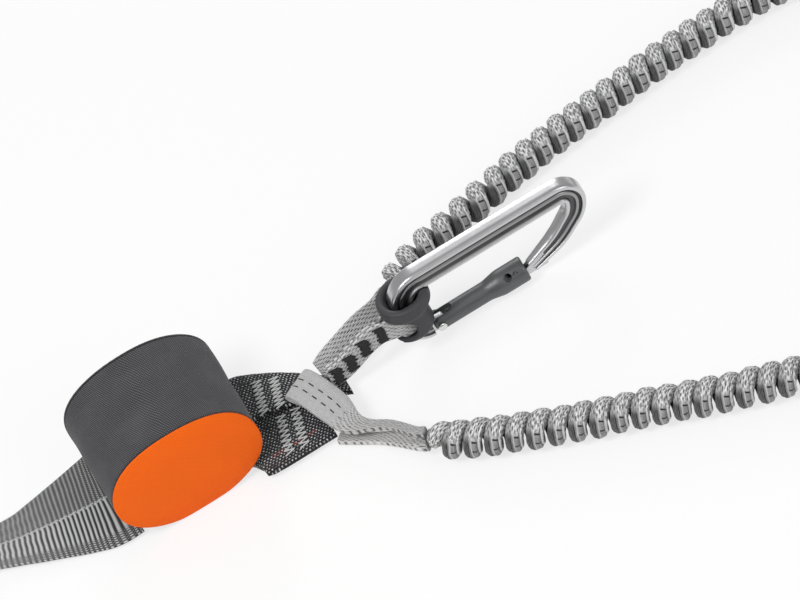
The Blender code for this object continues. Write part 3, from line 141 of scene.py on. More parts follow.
# A carabiner's corners and radii are shares of its length and width, and its scales draw the section down at
# shares of the way along. The gate is its radius, its radius at the nose and its reach.
REST = {
    "corners": (
        (-0.042, 0), (-0.117, 0), (-0.117, 0.89), (0.88, 0.875), (0.85, 0.50), (0.70, 0.185), (0.522, -0.02),
    ),
    "radii": (0.195, 0.34, 0.18, 0.42, 1.20),
    "length": REST_LENGTH,
    "width": REST_WIDTH,
    "section": (0.0112, 0.0080),
    "scales": ((0, 0.78), (0.10, 0.86), (0.18, 1.0), (0.62, 1.0), (0.74, 0.95), (0.90, 0.80), (1, 0.58)),
    "gate": (0.0046, 0.0059, 0.0440),
    "flare": (0.0245, 0.0310),
}
LOCKER = {
    "corners": ((-0.038, 0), (-0.175, 0.02), (-0.185, 0.46), (0.66, 0.94), (0.775, 0.46), (0.556, 0.02)),
    "radii": (0.12, 0.15, 0.32, 0.30),
    "length": LOCKER_LENGTH,
    "width": LOCKER_WIDTH,
    "section": (0.0120, 0.0110),
    "scales": ((0, 0.78), (0.10, 0.95), (0.18, 1.0), (0.70, 1.0), (0.88, 0.9), (1, 0.70)),
    "gate": (0.0054, 0.0064, 0.0640),
    "flare": (0.0400, 0.0480),
}


class Sizes(bpy.types.PropertyGroup):
    """The sizes that a user would change."""

    strand: FloatProperty(
        name="Strand", description="Diameter of an elastic arm's strand", default=0.0080, unit="LENGTH"
    )
    coil_radius: FloatProperty(
        name="Coil radius", description="From the arm's axis to its strand's", default=0.0048, unit="LENGTH"
    )
    upper_pitch: FloatProperty(
        name="Upper pitch", description="Length of one curl of the upper arm", default=0.00937, unit="LENGTH"
    )
    lower_pitch: FloatProperty(
        name="Lower pitch", description="Length of one curl of the lower arm", default=0.00982, unit="LENGTH"
    )
    coil_rows: IntProperty(name="Rows a curl", description="Mesh rows in one curl of an arm", default=40)
    coil_columns: IntProperty(name="Columns", description="Mesh columns round a strand", default=40)


class Colours(bpy.types.PropertyGroup):
    """The colours that a user would change."""

    band: FloatVectorProperty(
        name="Band", description="Cloth of the pouch", default=(0.068, 0.068, 0.074), subtype="COLOR"
    )
    panel: FloatVectorProperty(
        name="Panel", description="Cloth of the front panel", default=(1.0, 0.150, 0.006), subtype="COLOR"
    )
    webbing: FloatVectorProperty(
        name="Webbing", description="Light threads of the arms", default=(0.52, 0.52, 0.52), subtype="COLOR"
    )
    harness: FloatVectorProperty(
        name="Harness", description="Ribs of the harness strap", default=(0.42, 0.42, 0.42), subtype="COLOR"
    )
    alloy: FloatVectorProperty(
        name="Alloy", description="Satin forged frames", default=(0.60, 0.60, 0.61), subtype="COLOR"
    )
    gate: FloatVectorProperty(
        name="Gate", description="Dark anodised gates", default=(0.125, 0.130, 0.132), subtype="COLOR"
    )
    rubber: FloatVectorProperty(
        name="Rubber", description="Keepers and levers", default=(0.050, 0.050, 0.054), subtype="COLOR"
    )


def catmull_rom(knots, steps):
    """A smooth curve through rows of numbers: the cubic whose slope at each row is half the step between its
    neighbours, worked out at this many places from each row to the next."""
    knots = np.asarray(knots, float)
    knots = np.vstack([2 * knots[0] - knots[1], knots, 2 * knots[-1] - knots[-2]])
    t = np.linspace(0, 1, steps, endpoint=False)[None, :, None]
    a, b, c, d = (knots[i : len(knots) - 3 + i, None, :] for i in range(4))
    runs = 0.5 * (2 * b + (c - a) * t + (2 * a - 5 * b + 4 * c - d) * t**2 + (3 * b - a - 3 * c + d) * t**3)
    return np.vstack([runs.reshape(-1, knots.shape[1]), knots[-2:-1]])


def travelled(points):
    """The distance along a line of points, from its start to each one."""
    return np.concatenate([[0], np.cumsum(np.linalg.norm(np.diff(points[:, :3], axis=0), axis=1))])


def evenly(rows, step):
    """Rows resampled at an even distance along their first three columns."""
    at = travelled(rows)
    even = np.linspace(0, at[-1], max(2, int(round(at[-1] / step)) + 1))
    return even, np.stack([np.interp(even, at, rows[:, i]) for i in range(rows.shape[1])], axis=1)


def unit(vectors):
    """Each vector over its own length."""
    return vectors / np.linalg.norm(vectors, axis=-1, keepdims=True)


def tangents_of(points):
    """The unit steps along a line, each worked out between the neighbours of its point."""
    return unit(np.gradient(points, axis=0))


def grid_mesh(points, cloth, closed=(False, True)):
    """A mesh from a grid of points, rows by columns, whose quads join neighbours and wrap round where it is
    closed. The ends of an open tube get one face each. Cloth is the pattern's place in millimetres, along and
    across, with one more row or column than the points where the grid wraps round."""
    rows, columns = points.shape[:2]
    counts = (np.arange(count if wraps else count - 1) for count, wraps in zip((rows, columns), closed))
    i, j = np.meshgrid(*counts, indexing="ij")
    corners = ((i, i, i + 1, i + 1), (j, j + 1, j + 1, j))
    row, column = (np.stack(parts, axis=-1).reshape(-1, 4) for parts in corners)
    faces = ((row % rows) * columns + column % columns).tolist()
    places = [cloth[row, column].reshape(-1, 2)]
    if closed[1] and not closed[0]:
        ring = np.arange(columns)
        faces += [ring.tolist(), (ring + (rows - 1) * columns).tolist()]
        places += [cloth[0, :columns], cloth[rows - 1, :columns]]
    mesh = bpy.data.meshes.new("surface")
    mesh.from_pydata(points.reshape(-1, 3).tolist(), [], faces)
    layer = mesh.uv_layers.new(name="cloth")
    layer.data.foreach_set("uv", np.vstack(places).astype(np.float32).ravel())
    return mesh


def welded(mesh):
    """The mesh with its doubles merged and its faces turned outwards."""
    bm = bmesh.new()
    bm.from_mesh(mesh)
    bmesh.ops.remove_doubles(bm, verts=bm.verts, dist=WELD)
    bmesh.ops.recalc_face_normals(bm, faces=bm.faces)
    bm.to_mesh(mesh)
    bm.free()
    return mesh


def moved(mesh, matrix):
    """The mesh after a move or a turn."""
    mesh.transform(matrix)
    return mesh


def placed(name, data):
    """A new object in the scene that holds the data."""
    made = bpy.data.objects.new(name, data)
    bpy.context.scene.collection.objects.link(made)
    return made


def finished(name, mesh, finish, body=ROOT, sharp=None, replaces=()):
    """The mesh as a piece of the lanyard, facing out, with its material, on its body and for its nodes."""
    welded(mesh).shade_smooth()
    mesh.name = name
    if sharp:
        mesh.set_sharp_from_angle(angle=math.radians(sharp))
    mesh.materials.clear()
    mesh.materials.append(finish)
    piece = placed(name, mesh)
    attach(piece, body)
    if replaces:
        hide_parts(*replaces)
    return piece


def cloth_grid(along, across):
    """The pattern's place at each row and column, in millimetres, from metres."""
    return np.stack(np.broadcast_arrays(along[:, None] / MM, across / MM), axis=-1)


def strap_mesh(
    stations, step=0.8 * MM, half_columns=12, square=True, relief=None, steps=10, flat=None, warp=0
):
    """Webbing carried along stations of (centre, width direction, width, thickness). Its section is a flat
    oval, thickness times the fourth root of (1 - across^8), and relief adds height by the place along and
    across. The pattern spans the strap's own width, or the flat width where the webbing is gathered, and its
    place along runs slower by the warp: at * (1 - warp * at)."""
    rows = np.array([(*centre, *across, width, thick) for centre, across, width, thick in stations], float)
    at, rows = evenly(catmull_rom(rows, steps), step)
    centre, across, width, thick = rows[:, :3], rows[:, 3:6], rows[:, 6], rows[:, 7]
    tangent = tangents_of(centre)
    if square:
        across = across - (across * tangent).sum(-1, keepdims=True) * tangent
    across = unit(across)
    normal = unit(np.cross(tangent, across))
    share = -np.cos(np.linspace(0, np.pi, half_columns + 1))
    rise = (1 - share**8) ** 0.25
    side = np.concatenate([share, share[-2:0:-1]])
    lift = np.concatenate([rise, -rise[-2:0:-1]])
    place = width[:, None] / 2 * side
    pattern = np.broadcast_to(flat / 2 * side, place.shape) if flat else place
    at = at * (1 - warp * at)
    height = thick[:, None] / 2 * lift
    if relief:
        height = height + np.sign(lift) * relief(at[:, None], pattern) * np.abs(lift)
    points = centre[:, None] + across[:, None] * place[..., None] + normal[:, None] * height[..., None]
    wrapped = np.concatenate([pattern, pattern[:, :1]], axis=1)
    return grid_mesh(points, cloth_grid(at, wrapped))


def tube_mesh(path, radius, columns=10, up=(0, 0, 1), step=None):
    """A round tube along a path: path + radius * (cos a * side + sin a * up), both square to the path."""
    path = np.asarray(path, float)
    if step:
        _, path = evenly(path, step)
    at = travelled(path)
    tangent = tangents_of(path)
    side = np.cross(tangent, np.asarray(up, float))
    weak = np.linalg.norm(side, axis=1) < 0.05
    side[weak] = np.cross(tangent[weak], (0.31, 0.95, 0.0))
    side = unit(side)
    other = np.cross(side, tangent)
    turn = np.linspace(0, 2 * np.pi, columns + 1)
    reach = np.broadcast_to(np.asarray(radius, float), at.shape)[:, None, None]
    c, s = (wave(turn[:-1])[None, :, None] for wave in (np.cos, np.sin))
    around = np.broadcast_to(turn * np.mean(radius), (len(at), columns + 1))
    return grid_mesh(path[:, None] + reach * (c * side[:, None] + s * other[:, None]), cloth_grid(at, around))


def turned_mesh(profile, columns=48):
    """A profile of (radius, height) turned round Z: (r cos a, r sin a, h). It starts and ends on the axis."""
    profile = np.asarray(profile, float)
    turn = np.linspace(0, 2 * np.pi, columns + 1)
    radius = np.maximum(profile[:, 0], 1e-6)[:, None]
    parts = (radius * np.cos(turn[:-1]), radius * np.sin(turn[:-1]), profile[:, 1][:, None])
    at = travelled(np.column_stack([profile, np.zeros(len(profile))]))
    return grid_mesh(np.stack(np.broadcast_arrays(*parts), axis=-1), cloth_grid(at, radius * turn))


def block_mesh(low, high):
    """A plain block between two opposite corners."""
    low, high = Vector(low), Vector(high)
    bm = bmesh.new()
    bmesh.ops.create_cube(bm, size=1)
    matrix = Matrix.Translation((low + high) / 2) @ Matrix.Diagonal((*(high - low), 1))
    bmesh.ops.transform(bm, matrix=matrix, verts=bm.verts)
    mesh = bpy.data.meshes.new("block")
    bm.to_mesh(mesh)
    bm.free()
    return mesh


def carved(mesh, cutters, operation="DIFFERENCE"):
    """The mesh after a Boolean between closed solids with each cutter in turn."""
    for cutter in cutters:
        target, tool = (placed("carving", welded(one)) for one in (mesh, cutter))
        modifier = target.modifiers.new("carve", "BOOLEAN")
        modifier.operation, modifier.solver, modifier.object = operation, "MANIFOLD", tool
        bpy.context.view_layer.update()
        graph = bpy.context.evaluated_depsgraph_get()
        mesh = bpy.data.meshes.new_from_object(target.evaluated_get(graph))
        for made in (target, tool):
            bpy.data.objects.remove(made, do_unlink=True)
    return mesh


class Socket:
    """A node's output that adds Math nodes when it is used in an expression."""

    def __init__(self, finish, link):
        self.finish, self.link = finish, link

    def math(self, operation, *others):
        return self.finish.node("ShaderNodeMath", {"operation": operation}, dict(enumerate((self, *others))))

    def __add__(self, other):
        return self.math("ADD", other)

    __radd__ = __add__

    def __mul__(self, other):
        return self.math("MULTIPLY", other)

    __rmul__ = __mul__

    def __sub__(self, other):
        return self.math("SUBTRACT", other)

    def __rsub__(self, other):
        return (self * -1).math("ADD", other)

    def __truediv__(self, other):
        return self.math("DIVIDE", other)

    def __abs__(self):
        return self.math("ABSOLUTE")

    def fract(self):
        return self.math("FRACT")

    def floor(self):
        return self.math("FLOOR")

    def smooth(self, low, high):
        """0 below low, 1 above high, and a soft step between."""
        return self.finish.node(
            "ShaderNodeMapRange",
            {"interpolation_type": "SMOOTHSTEP"},
            {"Value": self, "From Min": low, "From Max": high, "To Min": 0.0, "To Max": 1.0},
        )

    def between(self, low, high, soft):
        """1 from low to high and 0 outside."""
        return self.smooth(low - soft, low + soft) * (1 - self.smooth(high - soft, high + soft))


class Finish:
    """A material in the making: its shader, its own colour, and one method that adds any node."""

    def __init__(self, name, constants, colour=()):
        self.colour = tuple(colour)
        self.material = bpy.data.materials.new(name)
        self.material.use_nodes = True
        self.tree = self.material.node_tree
        self.shader = self.tree.nodes["Principled BSDF"]
        for socket, value in constants.items():
            self.shader.inputs[socket].default_value = value

    def node(self, kind, settings=(), inputs=(), output=0):
        made = self.tree.nodes.new(kind)
        for key, value in dict(settings).items():
            setattr(made, key, value)
        for key, value in dict(inputs).items():
            if isinstance(value, Socket):
                self.tree.links.new(value.link, made.inputs[key])
            else:
                made.inputs[key].default_value = value
        return Socket(self, made.outputs[output])

    def feed(self, socket, value):
        self.tree.links.new(value.link, self.shader.inputs[socket])

    def cloth(self):
        """The pattern's place along and across, in millimetres."""
        place = self.node("ShaderNodeUVMap", {"uv_map": "cloth"})
        return tuple(self.node("ShaderNodeSeparateXYZ", (), {0: place}, axis) for axis in (0, 1))

    def solid(self):
        """Object coordinates in metres."""
        return self.node("ShaderNodeTexCoord", (), (), 3)

    def noise(self, place, scale, detail):
        return self.node("ShaderNodeTexNoise", (), {"Vector": place, "Scale": scale, "Detail": detail})

    def mottle(self, along, across, detail):
        """Noise over the pattern, finer where the places given run faster."""
        return self.noise(self.node("ShaderNodeCombineXYZ", (), {0: along, 1: across}), 1.0, detail)

    def mix(self, factor, low, high):
        """A colour from low to high by the factor. A number is that share of the finish's own colour."""
        inputs = {0: factor}
        for key, value in ((6, low), (7, high)):
            if isinstance(value, float):
                value = tuple(part * value for part in self.colour)
            inputs[key] = value if isinstance(value, Socket) else (*value, 1.0)
        return self.node("ShaderNodeMix", {"data_type": "RGBA"}, inputs, 2)

    def bump(self, height, distance, strength):
        bump = self.node("ShaderNodeBump", (), {"Height": height, "Distance": distance, "Strength": strength})
        self.feed("Normal", bump)


def stripes(place, pitch, share, soft):
    """1 in the middle of each pitch and 0 between, over this share of it."""
    away = abs((place / pitch).fract() - 0.5) * 2
    return 1 - away.smooth(share - soft, share + soft)


def flecks(along, across, pitch, size_shares, stagger=0.5, soft=0.2):
    """A mask of short flecks, in rows across whose start shifts from each row to the next."""
    row = (across / pitch[1]).floor()
    first = stripes(along + row * (stagger * pitch[0]), pitch[0], size_shares[0], soft)
    return first * stripes(across, pitch[1], size_shares[1], soft)


FABRIC = {"Roughness": 0.82, "Specular IOR Level": 0.25, "Sheen Weight": 0.25, "Sheen Roughness": 0.5}


def band_cloth(colour):
    """Dark woven mesh: rows of small light knots on the slant, with dark pits between them."""
    finish = Finish("band_cloth", {**FABRIC, "Sheen Weight": 0.12}, colour)
    along, across = finish.cloth()
    wander = finish.mottle(along * 0.12, across * 0.12, 2.0)
    slant, cross = along + across * 0.30 + wander * 0.9, across - along * 0.30 + wander * 0.9
    knots = flecks(slant, cross, (0.92, 0.78), (0.55, 0.50), 0.5, 0.35)
    cloudy = finish.mottle(along * 0.05, across * 0.05, 3.0)
    finish.feed("Base Color", finish.mix(knots * 0.75 + (cloudy - 0.5) * 0.35, 0.42, 2.9))
    finish.bump(knots, 0.16 * MM, 0.8)
    return finish.material


def panel_cloth(colour):
    """Bright cloth with a fine twill that shows as slanted rows."""
    finish = Finish("panel_cloth", {**FABRIC, "Sheen Weight": 0.03, "Specular IOR Level": 0.15}, colour)
    along, across = finish.cloth()
    weave = flecks(along + across * 0.35, across - along * 0.35, (0.85, 0.75), (0.55, 0.55), 0.5, 0.4)
    cloudy = finish.mottle(along * 0.06, across * 0.06, 2.0)
    finish.feed("Base Color", finish.mix(weave * 0.7 + cloudy * 0.3, 0.80, 1.06))
    finish.bump(weave, 0.12 * MM, 0.8)
    return finish.material


def ribbed_webbing(colour):
    """Harness webbing: ribs straight across, unbroken on one half and broken into bright dots on the other
    half and near the edge, with one stepped light line down the middle."""
    finish = Finish("harness_webbing", FABRIC, colour)
    along, across = finish.cloth()
    wander = finish.mottle(along * 0.05, across * 0.05, 2.0)
    along = along + (wander - 0.5) * 0.8
    ribs = stripes(along, RIB_PITCH, 0.50, 0.28)
    beads = stripes(across, BEAD_PITCH, 0.52, 0.32)
    step = along / (RIB_PITCH * 2)
    middle = 1 - abs(across + (step.fract() - 0.5) * 1.1).smooth(0.35, 0.75)
    dotted = (across.smooth(-0.8, 0.2) + (1 - across.smooth(-21.0, -17.0))).math("MINIMUM", 1.0)
    between = stripes(along + RIB_PITCH / 2, RIB_PITCH, 0.30, 0.25)
    between = between * stripes(across + 0.57, BEAD_PITCH, 0.4, 0.3)
    value = ribs * (1 - dotted * (1 - beads) * 0.95) + between * (dotted * 0.35)
    lighter = along.smooth(18.0, 62.0) * 0.35
    dark = finish.mix(lighter, 0.07, 0.75)
    lit = finish.mix(value * 0.95, dark, 1.35)
    finish.feed("Base Color", finish.mix(middle * 0.7, lit, 1.45))
    finish.bump(value + middle * 0.4, 0.30 * MM, 0.9)
    return finish.material


def flecked_webbing(name, colour, smooth_until=None):
    """Arm webbing: light threads lengthwise, with broken black flecks between them. It may start with a
    smooth face that has two rows of black dashes only."""
    finish = Finish(name, FABRIC, colour)
    along, across = finish.cloth()
    uneven = finish.mottle(along * 0.45, across * 2.6, 2.0)
    threads = stripes(across, 0.80, 0.6, 0.35)
    shift = (uneven - 0.5) * 3.0
    marks = flecks(along + shift, across, (3.6, 0.95), (0.46, 0.58), 0.37)
    chance = finish.mottle(along * 0.7, across * 1.1, 1.0).smooth(0.32, 0.44)
    face = finish.mix(threads * 0.40 + uneven * 0.60, 0.50, 1.55)
    amount = marks * chance * 0.85
    if smooth_until:
        drawn = along.smooth(smooth_until - 5, smooth_until + 3)
        row = abs(abs(across) - 2.0)
        dash = stripes(along, 6.0, 0.50, 0.06) * (1 - row.smooth(0.22, 0.38))
        amount = (amount * drawn).math("MAXIMUM", dash * (1 - drawn))
        face = finish.mix(drawn, finish.mix(uneven * 0.7 + threads * 0.3, 0.6, 1.2), face)
    finish.feed("Base Color", finish.mix(amount, face, 0.03))
    finish.bump(threads * 0.6 + uneven * 0.5 - marks * 0.5, 0.22 * MM, 0.8)
    return finish.material


def black_webbing(tracer=None):
    """Absorber webbing: black, with a grid of small uneven white flecks, and spots of a red tracer thread."""
    finish = Finish("absorber_webbing", FABRIC)
    along, across = finish.cloth()
    wander = finish.mottle(along * 0.25, across * 0.25, 2.0)
    dots = flecks(along + wander * 0.8, across, (FLECK_PITCH, CORD_PITCH), (0.38, 0.46), 0.5, 0.25)
    cords = stripes(across, CORD_PITCH, 0.65, 0.3)
    patchy = finish.mottle(along * 1.3, across * 1.3, 1.0).smooth(0.36, 0.58)
    face = finish.mix(cords, (0.003, 0.003, 0.004), (0.016, 0.016, 0.019))
    if tracer:
        spots = finish.mottle(along * 0.9, across * 1.4, 1.0).smooth(0.45, 0.62)
        thread = (1 - abs(across - tracer[0]).smooth(0.5, 1.1)) * along.between(tracer[1], tracer[2], 1.0)
        face = finish.mix(thread * spots, face, (0.30, 0.03, 0.02))
    finish.feed("Base Color", finish.mix(dots * patchy * 0.95, face, (0.78, 0.80, 0.81)))
    finish.bump(dots + cords * 0.5, 0.25 * MM, 0.9)
    return finish.material


def coil_fabric(colour, curl):
    """The arms' gathered sleeve, its light and shade painted by the place on each curl. Each curl has a
    grey face with fine streaks along the strand and two short black dashes across it, a dark ribbed flank
    behind it as painted shade, a groove darkened as painted shade, a bright rib before it as a painted
    highlight, then a flecked margin brightened as a painted highlight, its flecks the cloth's own, and a pale
    crown as a painted highlight, with black specks."""
    finish = Finish("coil_fabric", FABRIC, colour)
    along, across = finish.cloth()
    phase = (along / curl).fract()
    wander = finish.mottle(along * 0.12, across * 0.3, 2.0)
    streaks = finish.mottle(along * 0.45, across * 4.2, 3.0).smooth(0.30, 0.70)
    grain = finish.mottle(along * 2.6, across * 2.6, 2.0)
    side = across + (wander - 0.5) * 1.2
    shaded_flank = 1 - side.smooth(-2.4, -1.6)
    edge = side.between(-1.6, -1.1, 0.2)
    groove = side.between(1.6, 2.0, 0.2)
    rib = side.between(2.1, 3.7, 0.35)
    lit_margin = side.smooth(3.7, 4.2)
    crown = 1 - abs((along / curl + 0.45).fract() - 0.5).smooth(0.12, 0.22)
    face = finish.mix(streaks * 0.8 + grain * 0.2, 0.30, 0.95)
    ribs = stripes(across, 0.85, 0.40, 0.35)
    # Painted shade: the flank behind each curl's face gets a dark colour with fine ribs in it.
    shaded_side = finish.mix(ribs * (grain * 0.8 + 0.2), 0.03, 0.55)
    colouring = finish.mix(shaded_flank, face, shaded_side)
    # Painted shade: the groove round the strand is darkened; the same mask also sinks the bump.
    colouring = finish.mix(groove * 0.75, colouring, 0.12)
    # Painted highlights: the rib, and more faintly the face's edge by the flank, are lightened.
    colouring = finish.mix(rib.math("MAXIMUM", edge * 0.5) * 0.9, colouring, 1.60)
    # Painted highlight: the margin before the rib is lightened; the flecks on it below are the cloth's own.
    colouring = finish.mix(lit_margin * 0.8, colouring, 1.30)
    # Painted highlight: the crown at the top of each curl is made pale, less so over the flank; its black
    # specks below are real.
    colouring = finish.mix(crown * (1 - shaded_flank * 0.4), colouring, 1.80)
    loose = finish.mottle(along * 1.0, across * 1.5, 1.0).smooth(0.50, 0.56)
    rows = flecks(along + wander * 4.0, across, (2.3, 1.15), (0.50, 0.55), 0.5, 0.3)
    speckle = (loose * 0.6).math("MAXIMUM", rows * 0.95)
    spots = speckle * (crown * 0.95).math("MAXIMUM", (lit_margin * 0.6).math("MAXIMUM", shaded_flank * 0.5))
    colouring = finish.mix(spots, colouring, 0.02)
    reach = side.between(-1.1, 1.7, 0.2) + lit_margin
    dash = (phase.between(0.764, 0.780, 0.005) + phase.between(0.851, 0.867, 0.005)) * reach
    finish.feed("Base Color", finish.mix(dash, colouring, 0.02))
    height = streaks * 0.7 + grain * 0.3 + rib * 0.5 - groove * 0.8 - dash * 0.8 - spots * 0.4
    finish.bump(height, 0.30 * MM, 0.9)
    return finish.material


def sewing_thread(name, colour):
    """Sewing thread with its twist."""
    finish = Finish(name, {**FABRIC, "Roughness": 0.7}, colour)
    along, across = finish.cloth()
    twist = stripes(along + across * 0.8, 0.7, 0.5, 0.4)
    finish.feed("Base Color", finish.mix(twist, 0.6, 1.0))
    finish.bump(twist, 0.08 * MM, 0.6)
    return finish.material


def satin_alloy(colour):
    """Forged aluminium, tumbled to a satin shine, a little duller in patches. The two grooves of a forging,
    known by the share of its depth plus 3, are rougher and painted dark as painted shade and painted dark
    reflection, and the ridge between them is a little darker."""
    constants = {"Metallic": 1.0, "Roughness": 0.30, "Base Color": (*colour, 1.0)}
    finish = Finish("satin_alloy", constants, colour)
    place = finish.solid()
    cloudy = finish.noise(place, 90.0, 3.0)
    grain = finish.noise(place, 2600.0, 2.0)
    depth = finish.cloth()[1]
    shaded_grooves = depth.between(3.34, 3.58, 0.05) + depth.between(2.52, 3.02, 0.07)
    land = depth.between(3.05, 3.34, 0.04)
    finish.feed("Roughness", cloudy * 0.14 + 0.24 + shaded_grooves * 0.2)
    face = finish.mix(cloudy, 0.90, 1.06)
    face = finish.mix(land, face, 0.55)
    # Painted shade and painted dark reflection: the grooves take a tenth of the colour.
    finish.feed("Base Color", finish.mix(shaded_grooves * (cloudy * 0.3 + 0.7), face, 0.10))
    finish.bump(grain, 0.012 * MM, 0.5)
    return finish.material


def speckled(name, constants, colour, patches, roughness, tints, grain):
    """A plain finish in cloudy patches. Their noise n, at this scale, gives the roughness n * spread + base
    and a colour from the low to the high share of itself, under a grain of (scale, depth in millimetres)."""
    finish = Finish(name, constants, colour)
    place = finish.solid()
    cloudy = finish.noise(place, patches, 3.0)
    spread, base = roughness
    finish.feed("Roughness", cloudy * spread + base)
    finish.feed("Base Color", finish.mix(cloudy, *tints))
    scale, depth = grain
    finish.bump(finish.noise(place, scale, 2.0), depth * MM, 0.5)
    return finish.material


def dark_alloy(colour):
    """Anodised aluminium: dark grey and half matte."""
    constants = {"Metallic": 0.75, "Roughness": 0.42, "Base Color": (*colour, 1.0)}
    return speckled("dark_alloy", constants, colour, 120.0, (0.12, 0.38), (0.85, 1.15), (3000.0, 0.015))


def moulded_rubber(colour):
    """Matte moulded rubber with a fine pebble and a slightly lighter bloom."""
    constants = {"Roughness": 0.55, "Specular IOR Level": 0.4}
    return speckled("moulded_rubber", constants, colour, 70.0, (0.15, 0.48), (0.75, 1.35), (2200.0, 0.02))


def bright_steel():
    """Polished steel with faint wear."""
    constants = {"Metallic": 1.0, "Roughness": 0.2, "Base Color": (0.72, 0.72, 0.71, 1.0)}
    finish = Finish("bright_steel", constants)
    worn = finish.noise(finish.solid(), 900.0, 2.0)
    finish.feed("Roughness", worn * 0.16 + 0.14)
    finish.bump(worn, 0.01 * MM, 0.4)
    return finish.material


def superellipse(turn, half_length, half_height, power):
    """(a * sign(cos t) * |cos t|^(2/n), b * sign(sin t) * |sin t|^(2/n))."""
    c, s = np.cos(turn), np.sin(turn)
    return (
        half_length * np.sign(c) * np.abs(c) ** (2 / power),
        half_height * np.sign(s) * np.abs(s) ** (2 / power),
    )


def pouch_shell(profile):
    """The pouch's oval carried along a profile of (inset, y, share): a superellipse whose half axes shrink by
    the inset and then to the share, pressed flat where it meets the ground and gently dented by slow waves.
    A profile that ends where it starts makes a ring."""
    profile = np.asarray(profile, float)
    turn = np.linspace(0, 2 * np.pi, POUCH_COLUMNS + 1) + 0.25 * np.pi
    inset, y, share = profile[:, :1], profile[:, 1:2], profile[:, 2:3]
    x, z = superellipse(turn[None, :], POUCH_LENGTH / 2 - inset, POUCH_HEIGHT / 2 - inset, POUCH_POWER)
    dent = 0.30 * MM * np.sin(3 * turn[None, :] + 90 * y) * np.sin(2 * turn[None, :] - 140 * y + 1.0)
    shrink = share * (1 - dent / (POUCH_LENGTH / 2))
    x, z = x * shrink, POUCH_MIDDLE + z * shrink
    z = np.where(z < 0.7 * MM, 0.1 * MM + 0.6 * MM * np.exp((z - 0.7 * MM) / (0.6 * MM)), z)
    points = np.stack(np.broadcast_arrays(x, y, z), axis=-1)
    reach = np.column_stack([inset[:, 0] - share[:, 0] * POUCH_HEIGHT / 2, y[:, 0], share[:, 0] * 0])
    around = np.linspace(0, 1, POUCH_COLUMNS + 1) * np.pi * (POUCH_LENGTH + POUCH_HEIGHT) / 2
    cloth = cloth_grid(travelled(reach), np.broadcast_to(around, (len(profile), POUCH_COLUMNS + 1)))
    if share.min() < 0.5:
        cloth = points[..., ::2] / MM
    ring = bool(np.allclose(profile[0], profile[-1]))
    return grid_mesh(points[: len(points) - ring, :-1], cloth, closed=(ring, True))


def refined(line, step):
    """A line with more points on its long stretches, none of its own left out."""
    at = travelled(line)
    even = np.unique(np.concatenate([at, np.arange(0, at[-1], step)]))
    return np.stack([np.interp(even, at, line[:, i]) for i in range(line.shape[1])], axis=1)


def rounded_profile(corners, radius, steps=6):
    """An open polyline with each inner corner rounded by a quadratic curve that is pulled to the corner:
    first * (1 - t)^2 + 2 * corner * t * (1 - t) + last * t^2."""
    corners = np.asarray(corners, float)
    line = [corners[:1]]
    t = np.linspace(0, 1, steps + 1)[:, None]
    for before, corner, after in zip(corners, corners[1:], corners[2:]):
        reach = min(radius, np.linalg.norm(before - corner) / 2.05, np.linalg.norm(after - corner) / 2.05)
        first = corner + unit(before - corner) * reach
        last = corner + unit(after - corner) * reach
        line.append(first * (1 - t) ** 2 + 2 * corner * t * (1 - t) + last * t**2)
    line.append(corners[-1:])
    return np.vstack(line)


def rounded_loop(corners, radius, steps=6):
    """A closed outline with rounded corners."""
    corners = np.asarray(corners, float)
    middle = (corners[:1] + corners[-1:]) / 2
    return rounded_profile(np.vstack([middle, corners, middle]), radius, steps)[:-1]


def arc_line(corners, radii, step):
    """An open line through corners with a circular arc of the given radius at each inner one, evenly
    resampled: the arc's centre lies on the corner's bisector at radius / sin(half the angle)."""
    corners = np.asarray(corners, float)
    line = [corners[:1]]
    for before, corner, after, radius in zip(corners, corners[1:], corners[2:], radii):
        back, ahead = unit(before - corner), unit(after - corner)
        half = math.acos(float(np.clip(back @ ahead, -1, 1))) / 2
        centre = corner + unit(back + ahead) * radius / math.sin(half)
        first, last = (corner + side * radius / math.tan(half) - centre for side in (back, ahead))
        start = math.atan2(first[1], first[0])
        sweep = (math.atan2(last[1], last[0]) - start + math.pi) % (2 * math.pi) - math.pi
        angle = start + sweep * np.linspace(0, 1, 25)
        line.append(centre + radius * np.stack([np.cos(angle), np.sin(angle)], axis=1))
    line.append(corners[-1:])
    line = np.vstack(line)
    return evenly(np.column_stack([line, np.zeros(len(line))]), step)


def plate_mesh(outline, low, high, edge=0.4 * MM):
    """A plate from low to high with rounded edges: the outline moved in by edge * (1 - sin a) while the level
    moves from the face by edge * (1 - cos a)."""
    outline = np.asarray(outline, float)
    run = unit(np.roll(outline, -1, axis=0) - np.roll(outline, 1, axis=0))
    following = np.roll(outline, -1, axis=0)
    area = np.sum(outline[:, 0] * following[:, 1] - outline[:, 1] * following[:, 0])
    inward = np.stack([-run[:, 1], run[:, 0]], axis=1) * np.sign(area)
    angle = np.linspace(0, np.pi / 2, 4)
    inset = edge * (1 - np.sin(angle))
    level = edge * (1 - np.cos(angle))
    inset, level = np.concatenate([inset, inset[::-1]]), np.concatenate([low + level, (high - level)[::-1]])
    flat = outline[None] + inward[None] * inset[:, None, None]
    points = np.concatenate([flat, np.broadcast_to(level[:, None, None], (*flat.shape[:2], 1))], axis=2)
    return grid_mesh(points, np.zeros((len(level), len(outline) + 1, 2)))


def rod_mesh(start, end, radius, columns=32):
    """A straight round rod."""
    return tube_mesh([start, end], radius, columns, up=(0.3, 0.2, 0.9))


def drill(place, radius, columns=32):
    """A rod through a flat part, square to its plane."""
    return rod_mesh((*place, -FAR), (*place, FAR), radius, columns)


